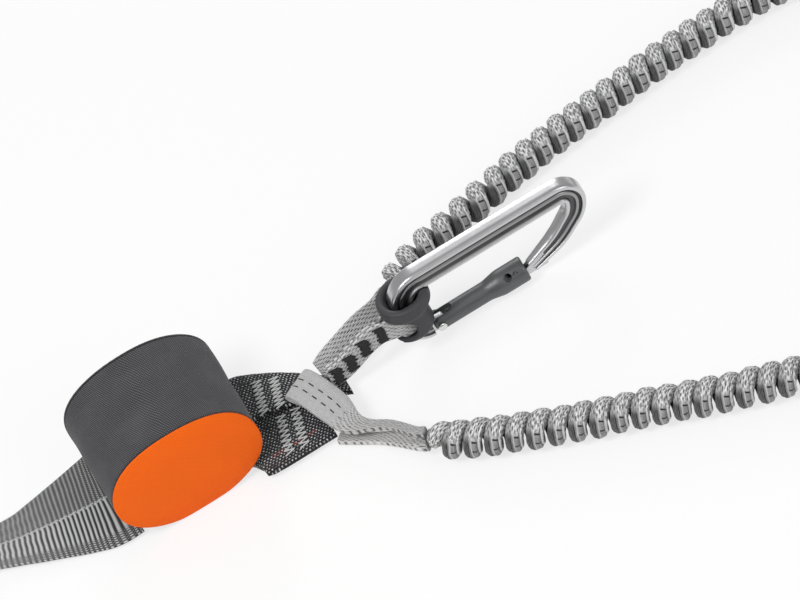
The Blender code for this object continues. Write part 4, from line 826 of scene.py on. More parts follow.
def lathed_pin(half):
    """A pin turned from the upper half of its profile and its mirror image."""
    return turned_mesh(np.vstack([half, np.array(half)[::-1] * (1, -1)]), 32)


def zigzag(low, high, across, count, ragged):
    """The corners of a sewn zigzag from low to high, half its width to either side in turn, ends uneven."""
    k = np.arange(2 * count + 1)
    share = k / (2 * count)
    low, high, across = (np.asarray(v, float) for v in (low, high, across))
    side = np.where(k % 2, 1, -1) * (0.5 + ragged * np.sin(k * 2.4) * np.cos(k * 1.1))
    return low + (high - low) * share[:, None] + across * side[:, None]


def forged_mesh(line, section, depth, thickness, scales, grow=0):
    """A forging swept along a flat line: line + outward * d * depth / 2 + up * t * thickness / 2 for the
    section's shares (d, t) and their mirror, drawn down along the line by the scales."""
    at, path = line
    tangent = tangents_of(path)
    outward = np.stack([-tangent[:, 1], tangent[:, 0], tangent[:, 2]], axis=1)
    scale = np.interp(at / at[-1], *zip(*scales))[:, None]
    shares = np.array(section, float)
    shares = np.vstack([shares, shares[:0:-1] * (1, -1)])
    steps = 3
    shares = catmull_rom(np.vstack([shares[-2:], shares, shares[:2]]), steps)[2 * steps : -2 * steps]
    d = shares[:, 0] * (depth / 2 * scale + grow)
    t = shares[:, 1] * (thickness / 2 * scale + grow)
    points = path[:, None] + outward[:, None] * d[..., None] + np.array((0, 0, 1)) * t[..., None]
    place = np.append(shares[:, 0], shares[0, 0])[None, :] + 3
    return grid_mesh(points, cloth_grid(at, np.broadcast_to(place * MM, (len(at), place.shape[1]))))


def forging_line(make):
    """A carabiner's corners in metres, from its shares of length and width, and the line round them."""
    corners = [(make["length"] * a, make["width"] * b) for a, b in make["corners"]]
    return corners, arc_line(corners, [make["width"] * share for share in make["radii"]], 0.6 * MM)


def carabiner(prefix, make, placing, gate_body, finishes):
    """A carabiner in its own plane, hinge pin at the origin, gate along +X and spine towards +Y: the grooved
    frame with its hinge tongue and hooked nose, the slotted tubular gate, and both pins."""
    alloy, dark, steel = finishes
    corners, line = forging_line(make)
    gate_radius, hook, reach = make["gate"]
    tongue, slot, pin, hole = 1.8 * MM, 2.2 * MM, 1.4 * MM, 1.7 * MM
    neck, nose_x = corners[0][0] - gate_radius, corners[-1][0]
    ear = gate_radius * 0.7
    knuckle = [(neck, -ear), (0.8 * gate_radius, -ear), (0.8 * gate_radius, ear), (neck, ear)]
    hinge = plate_mesh(rounded_loop(knuckle, 2.2 * MM), -tongue, tongue)
    beak = [
        (nose_x + hook * 1.2, -hook * 0.55),
        (nose_x + hook * 1.2, hook * 0.85),
        (nose_x - hook * 0.05, hook * 0.30),
        (reach - hook * 0.55, -hook * 0.20),
        (reach - hook * 0.75, -hook * 0.20),
        (reach - hook, hook * 0.25),
        (reach - hook * 1.45, hook * 0.25),
        (reach - hook * 1.45, -hook * 0.55),
    ]
    nose = plate_mesh(rounded_loop(beak, 0.6 * MM, 3), -tongue, tongue, 0.01 * MM)
    forging = forged_mesh(line, FORGED_SECTION, *make["section"], make["scales"])
    forging = carved(forging, [hinge, nose], "UNION")
    centres = [(0, 0)] + ([lever_pivot(corners)] if make is LOCKER else [])
    forging = moved(carved(forging, [drill(centre, hole) for centre in centres]), placing)
    name, node = f"{prefix}_forging", f"{prefix}_frame"
    finished(name, forging, alloy, sharp=EDGE_METAL, replaces=[node])

    flare = make["flare"]
    profile = rounded_profile(
        [
            (0, reach),
            (hook, reach),
            (hook, flare[1]),
            (gate_radius, flare[0]),
            (gate_radius, -gate_radius * 0.15),
            (gate_radius * 0.62, -gate_radius * 0.63),
            (0, -gate_radius * 0.63),
        ],
        1.3 * MM,
    )
    tube = moved(turned_mesh(refined(profile, 1.5 * MM)), Matrix.Rotation(math.pi / 2, 4, "Y"))
    slot_end = gate_radius * 1.75 - slot
    nose_start = reach - hook * 1.45 - 0.8 * MM
    pin_at = (reach - hook * 0.87, hook * 0.22 + hole)
    hole_x = nose_start + 0.5 * MM
    hinge_slot = block_mesh((-FAR, -FAR, -slot), (slot_end, FAR, slot))
    slot_floor = rod_mesh((slot_end, -FAR, 0), (slot_end, FAR, 0), slot)
    nose_slot = block_mesh((nose_start, -FAR, -slot), (reach + FAR / 2, hook * 0.62, slot))
    pin_way = rod_mesh((*pin_at, 1.5 * MM - hook), (*pin_at, hook - 1.5 * MM), hole)
    vent = rod_mesh((hole_x, hook * 0.3, hook * 0.3), (hole_x, FAR, FAR), 1.9 * MM)
    bore = rod_mesh((gate_radius, 0, 0), (gate_radius * 1.6 + 15 * MM, 0, 0), 2.8 * MM)
    tube = carved(tube, [hinge_slot, slot_floor, nose_slot, drill((0, 0), hole), pin_way, vent, bore])
    name, node = f"{prefix}_tube_gate", f"{prefix}_gate"
    finished(name, moved(tube, placing), dark, gate_body, EDGE_METAL, [node])

    rim = gate_radius + GAP
    dome = np.linspace(0, np.pi / 2, 8)
    cap = np.column_stack([2.1 * MM * np.sin(dome), rim + 0.9 * MM * np.cos(dome)])
    rivet = moved(lathed_pin(np.vstack([cap, [(2.1 * MM, rim), (pin, rim)]])), placing)
    finished(f"{prefix}_rivet", rivet, steel, ROOT, EDGE_METAL, [f"{prefix}_hinge_pin"])
    inset = hook - 1.7 * MM
    nose_pin = lathed_pin([(0, inset), (pin * 0.8, inset), (pin, inset - pin * 0.2)])
    nose_pin.transform(placing @ Matrix.Translation((*pin_at, 0)))
    name, node = f"{prefix}_crosspin", f"{prefix}_nose_pin"
    finished(name, nose_pin, dark, gate_body, EDGE_METAL, [node])
    return line


def lever_pivot(corners):
    """The palm lever's pin, four fifths of the way along the spine."""
    a, b = (np.array(corners[i]) for i in (2, 3))
    return tuple(float(v) for v in a + (b - a) * 0.80)


def loop_line(start_x, turn_x, half_length, half_height, apart):
    """A doubled strap's line: out along one side, round a bar on a superellipse of power 4, and back."""
    angle = -np.pi + math.radians(25) + (2 * np.pi - math.radians(50)) * np.linspace(0, 1, 15)
    along, aside = superellipse(angle, half_length, half_height, 4.0)
    before = turn_x - 2.1 * half_length
    run = np.linspace(start_x, before, 9)
    there = np.column_stack([run, np.full(9, -apart)])
    return np.vstack([there, np.column_stack([turn_x + along, aside]), there[::-1] * (1, -1)])


class LANYARD_OT_stage(bpy.types.Operator):
    """Pale floor, soft studio lamps and the photograph's camera"""

    bl_idname = "lanyard.stage"
    bl_label = "Stage"

    def execute(self, context):
        self.floor()
        self.lamps()
        self.camera(context)
        return {"FINISHED"}

    def floor(self):
        mesh = block_mesh((-FLOOR_REACH, -FLOOR_REACH, FLOOR_DEPTH), (FLOOR_REACH, FLOOR_REACH, FLOOR_TOP))
        finish = Finish("paper_floor", {"Base Color": (0.93, 0.93, 0.93, 1.0), "Roughness": 0.9})
        white = finish.node("ShaderNodeEmission", (), {"Color": (1, 1, 1, 1), "Strength": 1.0})
        rays = ("Is Camera Ray", "Is Glossy Ray")
        seen = [finish.node("ShaderNodeLightPath", (), (), ray) for ray in rays]
        factor = (seen[0] + seen[1]).math("MINIMUM", 1.0) * 0.72
        paper = Socket(finish, finish.shader.outputs[0])
        both = finish.node("ShaderNodeMixShader", (), {0: factor, 1: paper, 2: white})
        output = finish.tree.nodes["Material Output"]
        finish.tree.links.new(both.link, output.inputs["Surface"])
        mesh.materials.append(finish.material)
        floor = placed("floor", mesh)

    def lamps(self):
        world = bpy.data.worlds.new("studio")
        bpy.context.scene.world = world
        world.use_nodes = True
        tree = world.node_tree
        plain = tree.nodes["Background"]
        plain.inputs["Color"].default_value = (1, 1, 1, 1)
        plain.inputs["Strength"].default_value = 0.42
        white = tree.nodes.new("ShaderNodeBackground")
        white.inputs["Strength"].default_value = 1.0
        seen = tree.nodes.new("ShaderNodeLightPath")
        both = tree.nodes.new("ShaderNodeMixShader")
        tree.links.new(seen.outputs["Is Camera Ray"], both.inputs[0])
        tree.links.new(plain.outputs[0], both.inputs[1])
        tree.links.new(white.outputs[0], both.inputs[2])
        tree.links.new(both.outputs[0], tree.nodes["World Output"].inputs["Surface"])
        for name, place, size, power in LAMPS:
            data = bpy.data.lights.new(name, "AREA")
            data.shape, data.size, data.energy = "DISK", size, power
            lamp = placed(name, data)
            lamp.location = place
            aim = LAMP_TARGET - Vector(place)
            lamp.rotation_euler = aim.to_track_quat("-Z", "Y").to_euler()

    def camera(self, context):
        """An orthographic camera that looks along +Y and down, turned about its own axis by the roll."""
        data = bpy.data.cameras.new("camera")
        data.type, data.ortho_scale = "ORTHO", PICTURE_SCALE
        data.clip_end = 20
        camera = placed("camera", data)
        down = math.sin(CAMERA_ELEVATION)
        ahead = Vector((0, math.cos(CAMERA_ELEVATION), -down))
        right, up = Vector((1, 0, 0)), Vector((0, down, math.cos(CAMERA_ELEVATION)))
        c, s = math.cos(CAMERA_ROLL), math.sin(CAMERA_ROLL)
        turned_right, turned_up = right * c - up * s, right * s + up * c
        turn = Matrix((turned_right, turned_up, -ahead)).transposed()
        place = Vector(CAMERA_TARGET) - ahead * CAMERA_DISTANCE
        camera.matrix_world = Matrix.Translation(place) @ turn.to_4x4()
        context.scene.camera = camera
        context.scene.view_settings.view_transform = "Standard"


class LANYARD_OT_pouch(bpy.types.Operator):
    """The pouch's band, covers and piping, with the folded tear webbing inside"""

    bl_idname = "lanyard.pouch"
    bl_label = "Pouch"

    def execute(self, context):
        colours = context.scene.lanyard_colours
        cloth = band_cloth(colours.band)
        self.band(cloth)
        self.cover("front", -1, 2.3 * MM, panel_cloth(colours.panel), "orange_fabric", ["front_panel"])
        self.cover("rear", 1, 0, cloth, "dark_fabric", ["rear_panel"])
        angle = np.linspace(0, 2 * np.pi, 13)
        for name, side in (("front", -1), ("rear", 1)):
            across = side * (POUCH_DEPTH / 2 - 1.75 * MM + 0.42 * MM * np.sin(angle))
            ring = np.column_stack([(0.42 + 0.42 * np.cos(angle)) * MM, across, np.ones(13)])
            ring[-1] = ring[0]
            name = f"{name}_piping"
            thread = sewing_thread(name, (0.018, 0.018, 0.020))
            finished(name, pouch_shell(ring), thread)
        self.tear_webbing()
        return {"FINISHED"}

    def band(self, cloth):
        """A ring of cloth whose rims roll inwards, with mouths for the harness strap and for the legs."""
        edge, wall = POUCH_DEPTH / 2 - 2.1 * MM, 1.5 * MM
        corners = [(wall, 0), (wall, -edge), (0, -edge), (0, edge), (wall, edge), (wall, 0)]
        line = rounded_profile(corners, 0.7 * MM)
        ring = refined(np.column_stack([line, np.ones(len(line))]), 2 * MM)
        reach = POUCH_LENGTH / 2 + 4 * MM
        wide, tall = 26.2 * MM, 1.7 * MM
        slit = block_mesh((-reach, -wide, -tall), (-reach / 2, wide, tall))
        slit.transform(Matrix.Translation((0, 0, HARNESS_LEVEL)) @ Matrix.Rotation(HARNESS_ROLL, 4, "X"))
        mouth = block_mesh((POUCH_LENGTH * 0.2, -26.5 * MM, 0.6 * MM), (reach, 26 * MM, 10 * MM))
        mesh = carved(pouch_shell(ring), [slit, mouth])
        finished("pouch_cover", mesh, cloth, sharp=EDGE_CLOTH, replaces=["pouch_band"])

    def cover(self, name, side, crown, cloth, slot, nodes):
        """A cover for one end: its face rises by crown * (1 - share^3) and its edge rolls over the rim."""
        half = POUCH_DEPTH / 2
        share = np.array((0, 0.12, 0.25, 0.38, 0.5, 0.62, 0.72, 0.81, 0.88, 0.935, 0.97, 0.99))
        face = [(0.5 * MM, half - 0.55 * MM + crown * (1 - s**3), s) for s in share]
        rolled = ((0.42, 0.62), (0.16, 0.78), (0.05, 1.05), (0.2, 1.35))
        edge = [(a * MM, half - b * MM, 1) for a, b in rolled]
        back = [(1.0 * MM, half - 1.4 * MM, s) for s in (1, 0.97, 0.6, 0)]
        profile = np.array(face + edge + back)
        profile[:, 1] *= side
        finished(f"{name}_cover", pouch_shell(profile), cloth, replaces=nodes)

    def tear_webbing(self):
        """Webbing folded to and fro: seven flat runs joined by half circles."""
        low, thick, folds = 9.0 * MM, 2.2 * MM, 6
        pitch = (26 * MM - thick) / folds
        turn = pitch / 2
        reach = 23 * MM - turn
        line = []
        for i in range(folds + 1):
            z = low + thick / 2 + pitch * i
            side = -1 if i % 2 else 1
            line += [(-side * reach * share, z) for share in (1, 0.5, 0, -0.5, -1)]
            if i < folds:
                angle = np.linspace(-np.pi / 3, np.pi / 3, 4)
                line += list(zip(side * (reach + turn * np.cos(angle)), z + turn + turn * np.sin(angle)))
        stations = [((x, 0, z), (0, 1, 0), 40 * MM, thick) for x, z in line]
        mesh = strap_mesh(stations, step=1 * MM, steps=4)
        finished("folded_absorber", mesh, black_webbing(), replaces=["tear_webbing"])


class LANYARD_OT_zip(bpy.types.Operator):
    """The inspection zip on the rear cover: tape, both rows of teeth, slider with its bridge, and pull"""

    bl_idname = "lanyard.zip"
    bl_label = "Zip"

    def execute(self, context):
        middle, face = POUCH_MIDDLE, POUCH_DEPTH / 2 - 0.3 * MM
        thread = sewing_thread("zip_cloth", BLACK_THREAD)
        ends = (-0.026, -0.009, 0.009, 0.026)
        stations = [((x, face + 0.4 * MM, middle), (0, 0, 1), 12 * MM, 0.8 * MM) for x in ends]
        finished("zip_band", strap_mesh(stations), thread, replaces=["zip_tape"])
        turn = np.linspace(0, 2 * np.pi * 44, 44 * 12)
        for side, name in ((-1, "low"), (1, "high")):
            coil = np.column_stack(
                [
                    -0.022 + 0.044 * turn / turn[-1] + side * 0.25 * MM,
                    face + 1.1 * MM + 0.45 * MM * np.cos(turn),
                    middle + side * (0.8 + 0.75 * np.sin(turn)) * MM,
                ]
            )
            teeth = tube_mesh(coil, 0.24 * MM, 6, up=(0.2, 1, 0.1))
            finished(f"zip_teeth_{name}", teeth, thread)
        self.slider(face + 1.1 * MM, middle)
        return {"FINISHED"}

    def slider(self, base, middle):
        steel = bright_steel()
        lying = Matrix.Translation((0, base, middle)) @ Matrix.Rotation(-math.pi / 2, 4, "X")
        start, end, half, thick = -23 * MM, -14.5 * MM, 3.25 * MM, 2.6 * MM
        corners = [(start, -half * 0.7), (start + 2 * MM, -half), (end, -half * 0.8)]
        corners += [(x, -y) for x, y in reversed(corners)]
        body = moved(plate_mesh(rounded_loop(corners, 0.9 * MM), 0, thick, 0.5 * MM), lying)
        channel = block_mesh((start - FAR / 2, -2.1 * MM, -FAR / 2), (end + FAR / 2, 2.1 * MM, 1 * MM))
        arch = [(-21.2, 2.2), (-21.2, 5.2), (-16.3, 5.2), (-16.3, 2.2)]
        path = rounded_profile(np.array(arch) * MM, 1 * MM)
        path = np.column_stack([path[:, 0], path[:, 0] * 0, path[:, 1]])
        bridge = moved(tube_mesh(path, 0.6 * MM, 16, up=(0, 1, 0)), lying)
        body = carved(carved(body, [moved(channel, lying)]), [bridge], "UNION")
        finished("zip_runner", body, steel, "zip_slider", EDGE_METAL, ["zip_slider"])
        eye_x, half = -18.75 * MM, 0.6 * MM
        corners = [(eye_x - half, -3 * MM), (eye_x + 18 * MM, -2.1 * MM), (eye_x + 18 * MM, 2.1 * MM)]
        hanging = lying @ Matrix.Translation((0, 0, 3.6 * MM))
        outline = rounded_loop([*corners, (eye_x - half, 3 * MM)], 1.2 * MM)
        pull = moved(plate_mesh(outline, -half, half, 0.3 * MM), hanging)
        eye = [(eye_x + half, -1.8 * MM), (eye_x + 5.4 * MM, -1.6 * MM), (eye_x + 5.4 * MM, 1.6 * MM)]
        eye = rounded_loop([*eye, (eye_x + half, 1.8 * MM)], 0.6 * MM)
        grip = [(eye_x + x * MM, y * MM) for x, y in ((8, -1.1), (15.5, -1), (15.5, 1), (8, 1.1))]
        sunk = ((eye, -1 * MM), (rounded_loop(grip, 0.9 * MM), 0.35 * MM))
        cutters = [moved(plate_mesh(shape, low, 1 * MM, 0.01 * MM), hanging) for shape, low in sunk]
        pull = carved(pull, cutters)
        finished("zip_tab", pull, steel, "zip_pull", EDGE_METAL, ["zip_pull"])


class LANYARD_OT_harness_strap(bpy.types.Operator):
    """The ribbed strap that folds lengthwise, twists on edge and ends in the girth-hitch loop"""

    bl_idname = "lanyard.harness_strap"
    bl_label = "Harness strap"

    def execute(self, context):
        cloth = ribbed_webbing(context.scene.lanyard_colours.harness)
        start_x, neck_x = -30 * MM, -110 * MM
        rows = (
            (0.00, 0.00, 0.00, 0.00, 1.00, 0.00),
            (0.09, 0.00, 0.00, 0.00, 1.00, 0.05),
            (0.20, 0.12, 0.14, 0.10, 0.90, 0.30),
            (0.34, 0.30, 0.37, 0.25, 0.80, 0.60),
            (0.48, 0.48, 0.60, 0.45, 0.60, 0.80),
            (0.61, 0.68, 0.84, 0.70, 0.50, 1.00),
            (0.76, 0.95, 1.00, 1.00, 0.60, 0.90),
        )
        twist = ((0.84, 0.35), (0.91, 0.75), (0.96, 1.0), (1.0, 1.0))
        side, low, neck = 13.5 * MM, 4.2 * MM, 11.3 * MM
        stations = []
        for along, aside, narrow, fold, tilt, sink in rows:
            roll = HARNESS_ROLL * tilt
            height = HARNESS_LEVEL + (low - HARNESS_LEVEL) * sink
            centre = (start_x + (neck_x - start_x) * along, side * aside, height)
            across = (0, math.cos(roll), math.sin(roll))
            stations.append((centre, across, (50 - 28 * narrow) * MM, (2.2 + 2.0 * fold) * MM))
        for along, turned in twist:
            roll = HARNESS_ROLL * 0.6 * (1 - turned) + math.pi / 2 * turned
            height = low + (neck - low) * math.sin(math.pi / 2 * turned)
            centre = (start_x + (neck_x - start_x) * along, side, height)
            stations.append((centre, (0, math.cos(roll), math.sin(roll)), 22 * MM, 4.2 * MM))
        mesh = strap_mesh(stations, 0.42 * MM, 44, relief=self.relief, flat=50 * MM, warp=2.0)
        finished("ribbed_strap", mesh, cloth, replaces=["harness_webbing"])
        self.loop(neck_x - GAP, side, cloth)
        return {"FINISHED"}

    @staticmethod
    def relief(along, across):
        """Low ribs straight across, and long soft pleats that grow as the webbing is gathered."""
        ribs = 0.10 * MM * np.cos(2 * np.pi * (along / (RIB_PITCH * MM) - 0.5))
        grown = np.clip((along - 12 * MM) / (40 * MM), 0, 1)
        pleats = 0.45 * MM * grown * np.sin(across / MM * 0.62 + 0.8 * np.sin(along / MM * 0.08))
        return ribs + pleats

    def loop(self, neck_x, side, cloth):
        """The loop for the harness, both of whose ends are sewn flat against each other by two bartacks."""
        tail, half, web = 85 * MM, 17 * MM, 2.4 * MM
        back = -web - GAP
        corners = [(0, 0), (-tail * 0.16, 0), (-tail * 0.40, half), (-tail, half), (-tail, -half)]
        corners += [(-tail * 0.40, -half), (-tail * 0.16, back), (0, back)]
        _, line = arc_line(corners, [half, half, half * 0.9, half * 0.9, half, half], 6 * MM)
        line = line + (neck_x, side + web / 2, 10 * MM)
        stations = [(tuple(point), (0, 0, 1), 20 * MM, web) for point in line]
        mesh = strap_mesh(stations, 0.9 * MM, 16, steps=4)
        finished("girth_loop", mesh, cloth, replaces=["harness_loop"])
        thread = sewing_thread("loop_thread", BLACK_THREAD)
        for i, share in enumerate((0.05, 0.12)):
            x, y = neck_x - tail * share, side - web * 1.5 - GAP
            corners = zigzag((x, y, 3 * MM), (x, y, 17 * MM), STITCH_WIDTH, 9, 0.04)
            name = f"loop_stitches_{i + 1}"
            mesh = tube_mesh(corners, 0.45 * MM, 8, up=(0, 1, 0), step=0.3 * MM)
            finished(name, mesh, thread, replaces=[f"harness_bartack_{i + 1}"])


class LANYARD_OT_absorber_legs(bpy.types.Operator):
    """The two black webbing legs of the absorber, each with two white zigzag bartacks"""

    bl_idname = "lanyard.absorber_legs"
    bl_label = "Absorber legs"

    def execute(self, context):
        start, span, wide = POUCH_LENGTH * 0.30, 57.5 * MM, 26 * MM
        upper = (
            (0.00, 0.24, 1.00, 1.00),
            (0.16, 0.27, 1.05, 1.00),
            (0.29, 0.29, 1.11, 1.00),
            (0.53, 0.06, 0.89, 1.00),
            (0.69, -0.14, 0.70, 0.95),
            (0.82, -0.30, 0.56, 0.68),
            (1.00, -0.58, 0.42, 0.50),
        )
        lower = (
            (0.00, -0.85, 0.29, 1.00),
            (0.06, -0.85, 0.29, 1.00),
            (0.12, -0.80, 0.90, 1.00),
            (0.18, -0.777, 1.31, 1.00),
            (0.73, -0.777, 1.33, 1.00),
        )
        upper_tacks = ((0.38, 0.06, 0.76), (0.51, -0.04, 0.68))
        lower_tacks = ((0.395, -0.85, 0.90), (0.52, -0.88, 0.90))
        thread = sewing_thread("bartack_thread", (0.66, 0.67, 0.66))
        for name, rows, level, tacks, steps, tracer in (
            ("upper", upper, LEG_UPPER_LEVEL, upper_tacks, 10, None),
            ("lower", lower, LEG_LOWER_LEVEL, lower_tacks, 4, (-9.0, 14.0, 36.0)),
        ):
            stations = [
                ((start + span * along, wide * aside, level * rise), (0, 1, 0), wide * share, LEG_THICKNESS)
                for along, aside, share, rise in rows
            ]
            mesh = strap_mesh(stations, *FINE_STRAP, False, self.relief, steps)
            node = f"absorber_leg_{name}"
            finished(f"{name}_leg", mesh, black_webbing(tracer), replaces=[node])
            for i, (along, aside, share) in enumerate(tacks):
                run = wide * share / 2
                above = level + LEG_THICKNESS / 2 + GAP + 0.25 * MM
                middle = np.array((start + span * along, wide * aside, above))
                reach = np.array((0.2 * run, run, 0))
                corners = zigzag(middle - reach, middle + reach, STITCH_WIDTH, 8, 0.05)
                title = f"{name}_stitches_{i + 1}"
                stitches = tube_mesh(corners, 0.36 * MM, 8, step=0.25 * MM)
                finished(title, stitches, thread, replaces=[f"{node}_bartack_{i + 1}"])
        return {"FINISHED"}

    @staticmethod
    def relief(along, across):
        """The coarse weave: 0.10 mm * cos over the cords across and 0.08 mm * cos over the beats along."""
        row = np.floor(across / (CORD_PITCH * MM))
        cords = np.cos(2 * np.pi * (across / (CORD_PITCH * MM) - 0.5))
        beats = np.cos(2 * np.pi * (along / (FLECK_PITCH * MM) + row * 0.5 - 0.5))
        return 0.10 * MM * cords + 0.08 * MM * beats


class LANYARD_OT_junction(bpy.types.Operator):
    """The grey webbing folded over the upper leg, the tail under it, and the upper arm's strap"""

    bl_idname = "lanyard.junction"
    bl_label = "Junction"

    def execute(self, context):
        colour = context.scene.lanyard_colours.webbing
        cloth = flecked_webbing("arm_strap", colour)
        width, run, web, folded = 16.3 * MM, 34.5 * MM, 2.2 * MM, np.array((9.0 * MM, 4.2 * MM))
        fold = np.array((0.0604, -0.0070, LEG_UPPER_LEVEL + LEG_THICKNESS / 2 + GAP + 1.8 * web))
        along, across = np.array((0.52, -0.855, 0)), (0.855, 0.52, 0)
        under = np.array((0, 0, -web - 2 * GAP))
        end = np.array((*LOWER_ROUTE[0], ARM_AXIS_HEIGHT))
        heading = unit(np.array((*LOWER_ROUTE[1], ARM_AXIS_HEIGHT)) - end)
        stop, lift = end - heading * GAP, np.array((0, 0, folded[1] / 2 + GAP))
        slanted = (0.7, 0.7, 0)

        def over(ahead, aside, rise):
            return (fold[0] + run * ahead, fold[1] - run * aside, fold[2] * rise)

        stations = [
            (fold + under + along * run * 0.30, across, width, web),
            (fold + under + along * run * 0.06, across, width, web),
            (fold + under / 2 - along * web * 0.6, across, width, web),
            (fold + along * run * 0.06, across, width, web),
            (over(0.125, 0.290, 0.95), (0.92, 0.36, 0), width, web),
            (over(0.232, 0.620, 0.82), (0.96, 0.20, 0), width * 0.97, web),
            (over(0.290, 0.900, 0.72), (0.90, 0.40, 0), width * 0.78, web * 1.2),
            (over(0.380, 1.085, 0.72), (0.75, 0.65, 0), width * 0.56, web * 1.5),
            (over(0.530, 1.275, 0.85), slanted, width * 0.32, folded[1] * 0.8),
            (over(0.750, 1.490, 0.92), slanted, width * 0.27, folded[1] * 0.8),
        ]
        raised = stop + lift + (0, 0.8 * MM, 1.4 * MM)
        last = (0.5, 0.1, 0)
        stations += [(raised - heading * folded[0] * back, slanted, 4.4 * MM, 3.2 * MM) for back in last]
        mesh = strap_mesh(stations, *FINE_STRAP, relief=self.creases, flat=width)
        smooth = flecked_webbing("junction_strap", colour, smooth_until=46.0)
        finished("folded_strap", mesh, smooth, replaces=["junction_strap"])

        level, slim = 2.6 * MM / fold[2], folded[1] * 0.8
        stations = [
            (over(0.100, 0.935, level), slanted, folded[0] * 0.55, slim),
            (over(0.290, 1.110, level * 1.08), slanted, folded[0] * 0.55, slim),
            (over(0.510, 1.300, level * 1.25), slanted, folded[0] * 0.62, slim),
            (over(0.722, 1.520, level * 1.60), slanted, folded[0] * 0.80, slim * 1.1),
        ]
        stations += [(stop - lift - heading * folded[0] * back, slanted, *folded) for back in last]
        mesh = strap_mesh(stations, *FINE_STRAP, relief=self.creases, flat=12 * MM)
        finished("tail_strap", mesh, cloth, replaces=["lower_arm_tail"])
        self.upper_strap(cloth, width, web, folded[0])
        return {"FINISHED"}

    @staticmethod
    def creases(along, across):
        """Soft lengthwise folds that show once the webbing is drawn together."""
        grown = np.clip((along - 30 * MM) / (12 * MM), 0, 1)
        return 0.22 * MM * grown * np.sin(across / MM * 1.3 + 0.5 * np.sin(along / MM * 0.2))

    def upper_strap(self, cloth, width, web, folded):
        start, sag = np.array((0.0714, -0.0054, 0.0112)), np.array((0, -4 * MM, 1 * MM))
        end = np.array((*UPPER_ROUTE[0], ARM_AXIS_HEIGHT))
        heading = unit(np.array((*UPPER_ROUTE[1], ARM_AXIS_HEIGHT)) - end)
        stop = end - heading * GAP
        lean = (-0.35, 0.66, 0.66)
        stations = [
            (start, (-0.20, 0.85, 0.45), width * 0.55, web),
            (start + (stop - start) * 0.13 + sag * 0.45, (-0.30, 0.75, 0.58), width * 0.78, web),
            (start + (stop - start) * 0.33 + sag, lean, width * 0.92, web),
            (start + (stop - start) * 0.60 + sag, lean, width * 0.92, web * 1.2),
            (stop - heading * folded + sag * 0.3, (-0.3, 0.6, 0.75), width * 0.78, web * 1.6),
            (stop - heading * GAP, (-0.3, 0.5, 0.80), width * 0.60, web * 2),
        ]
        mesh = strap_mesh(stations, *FINE_STRAP, relief=self.creases, flat=width)
        finished("upper_strap", mesh, cloth, replaces=["upper_arm_strap"])


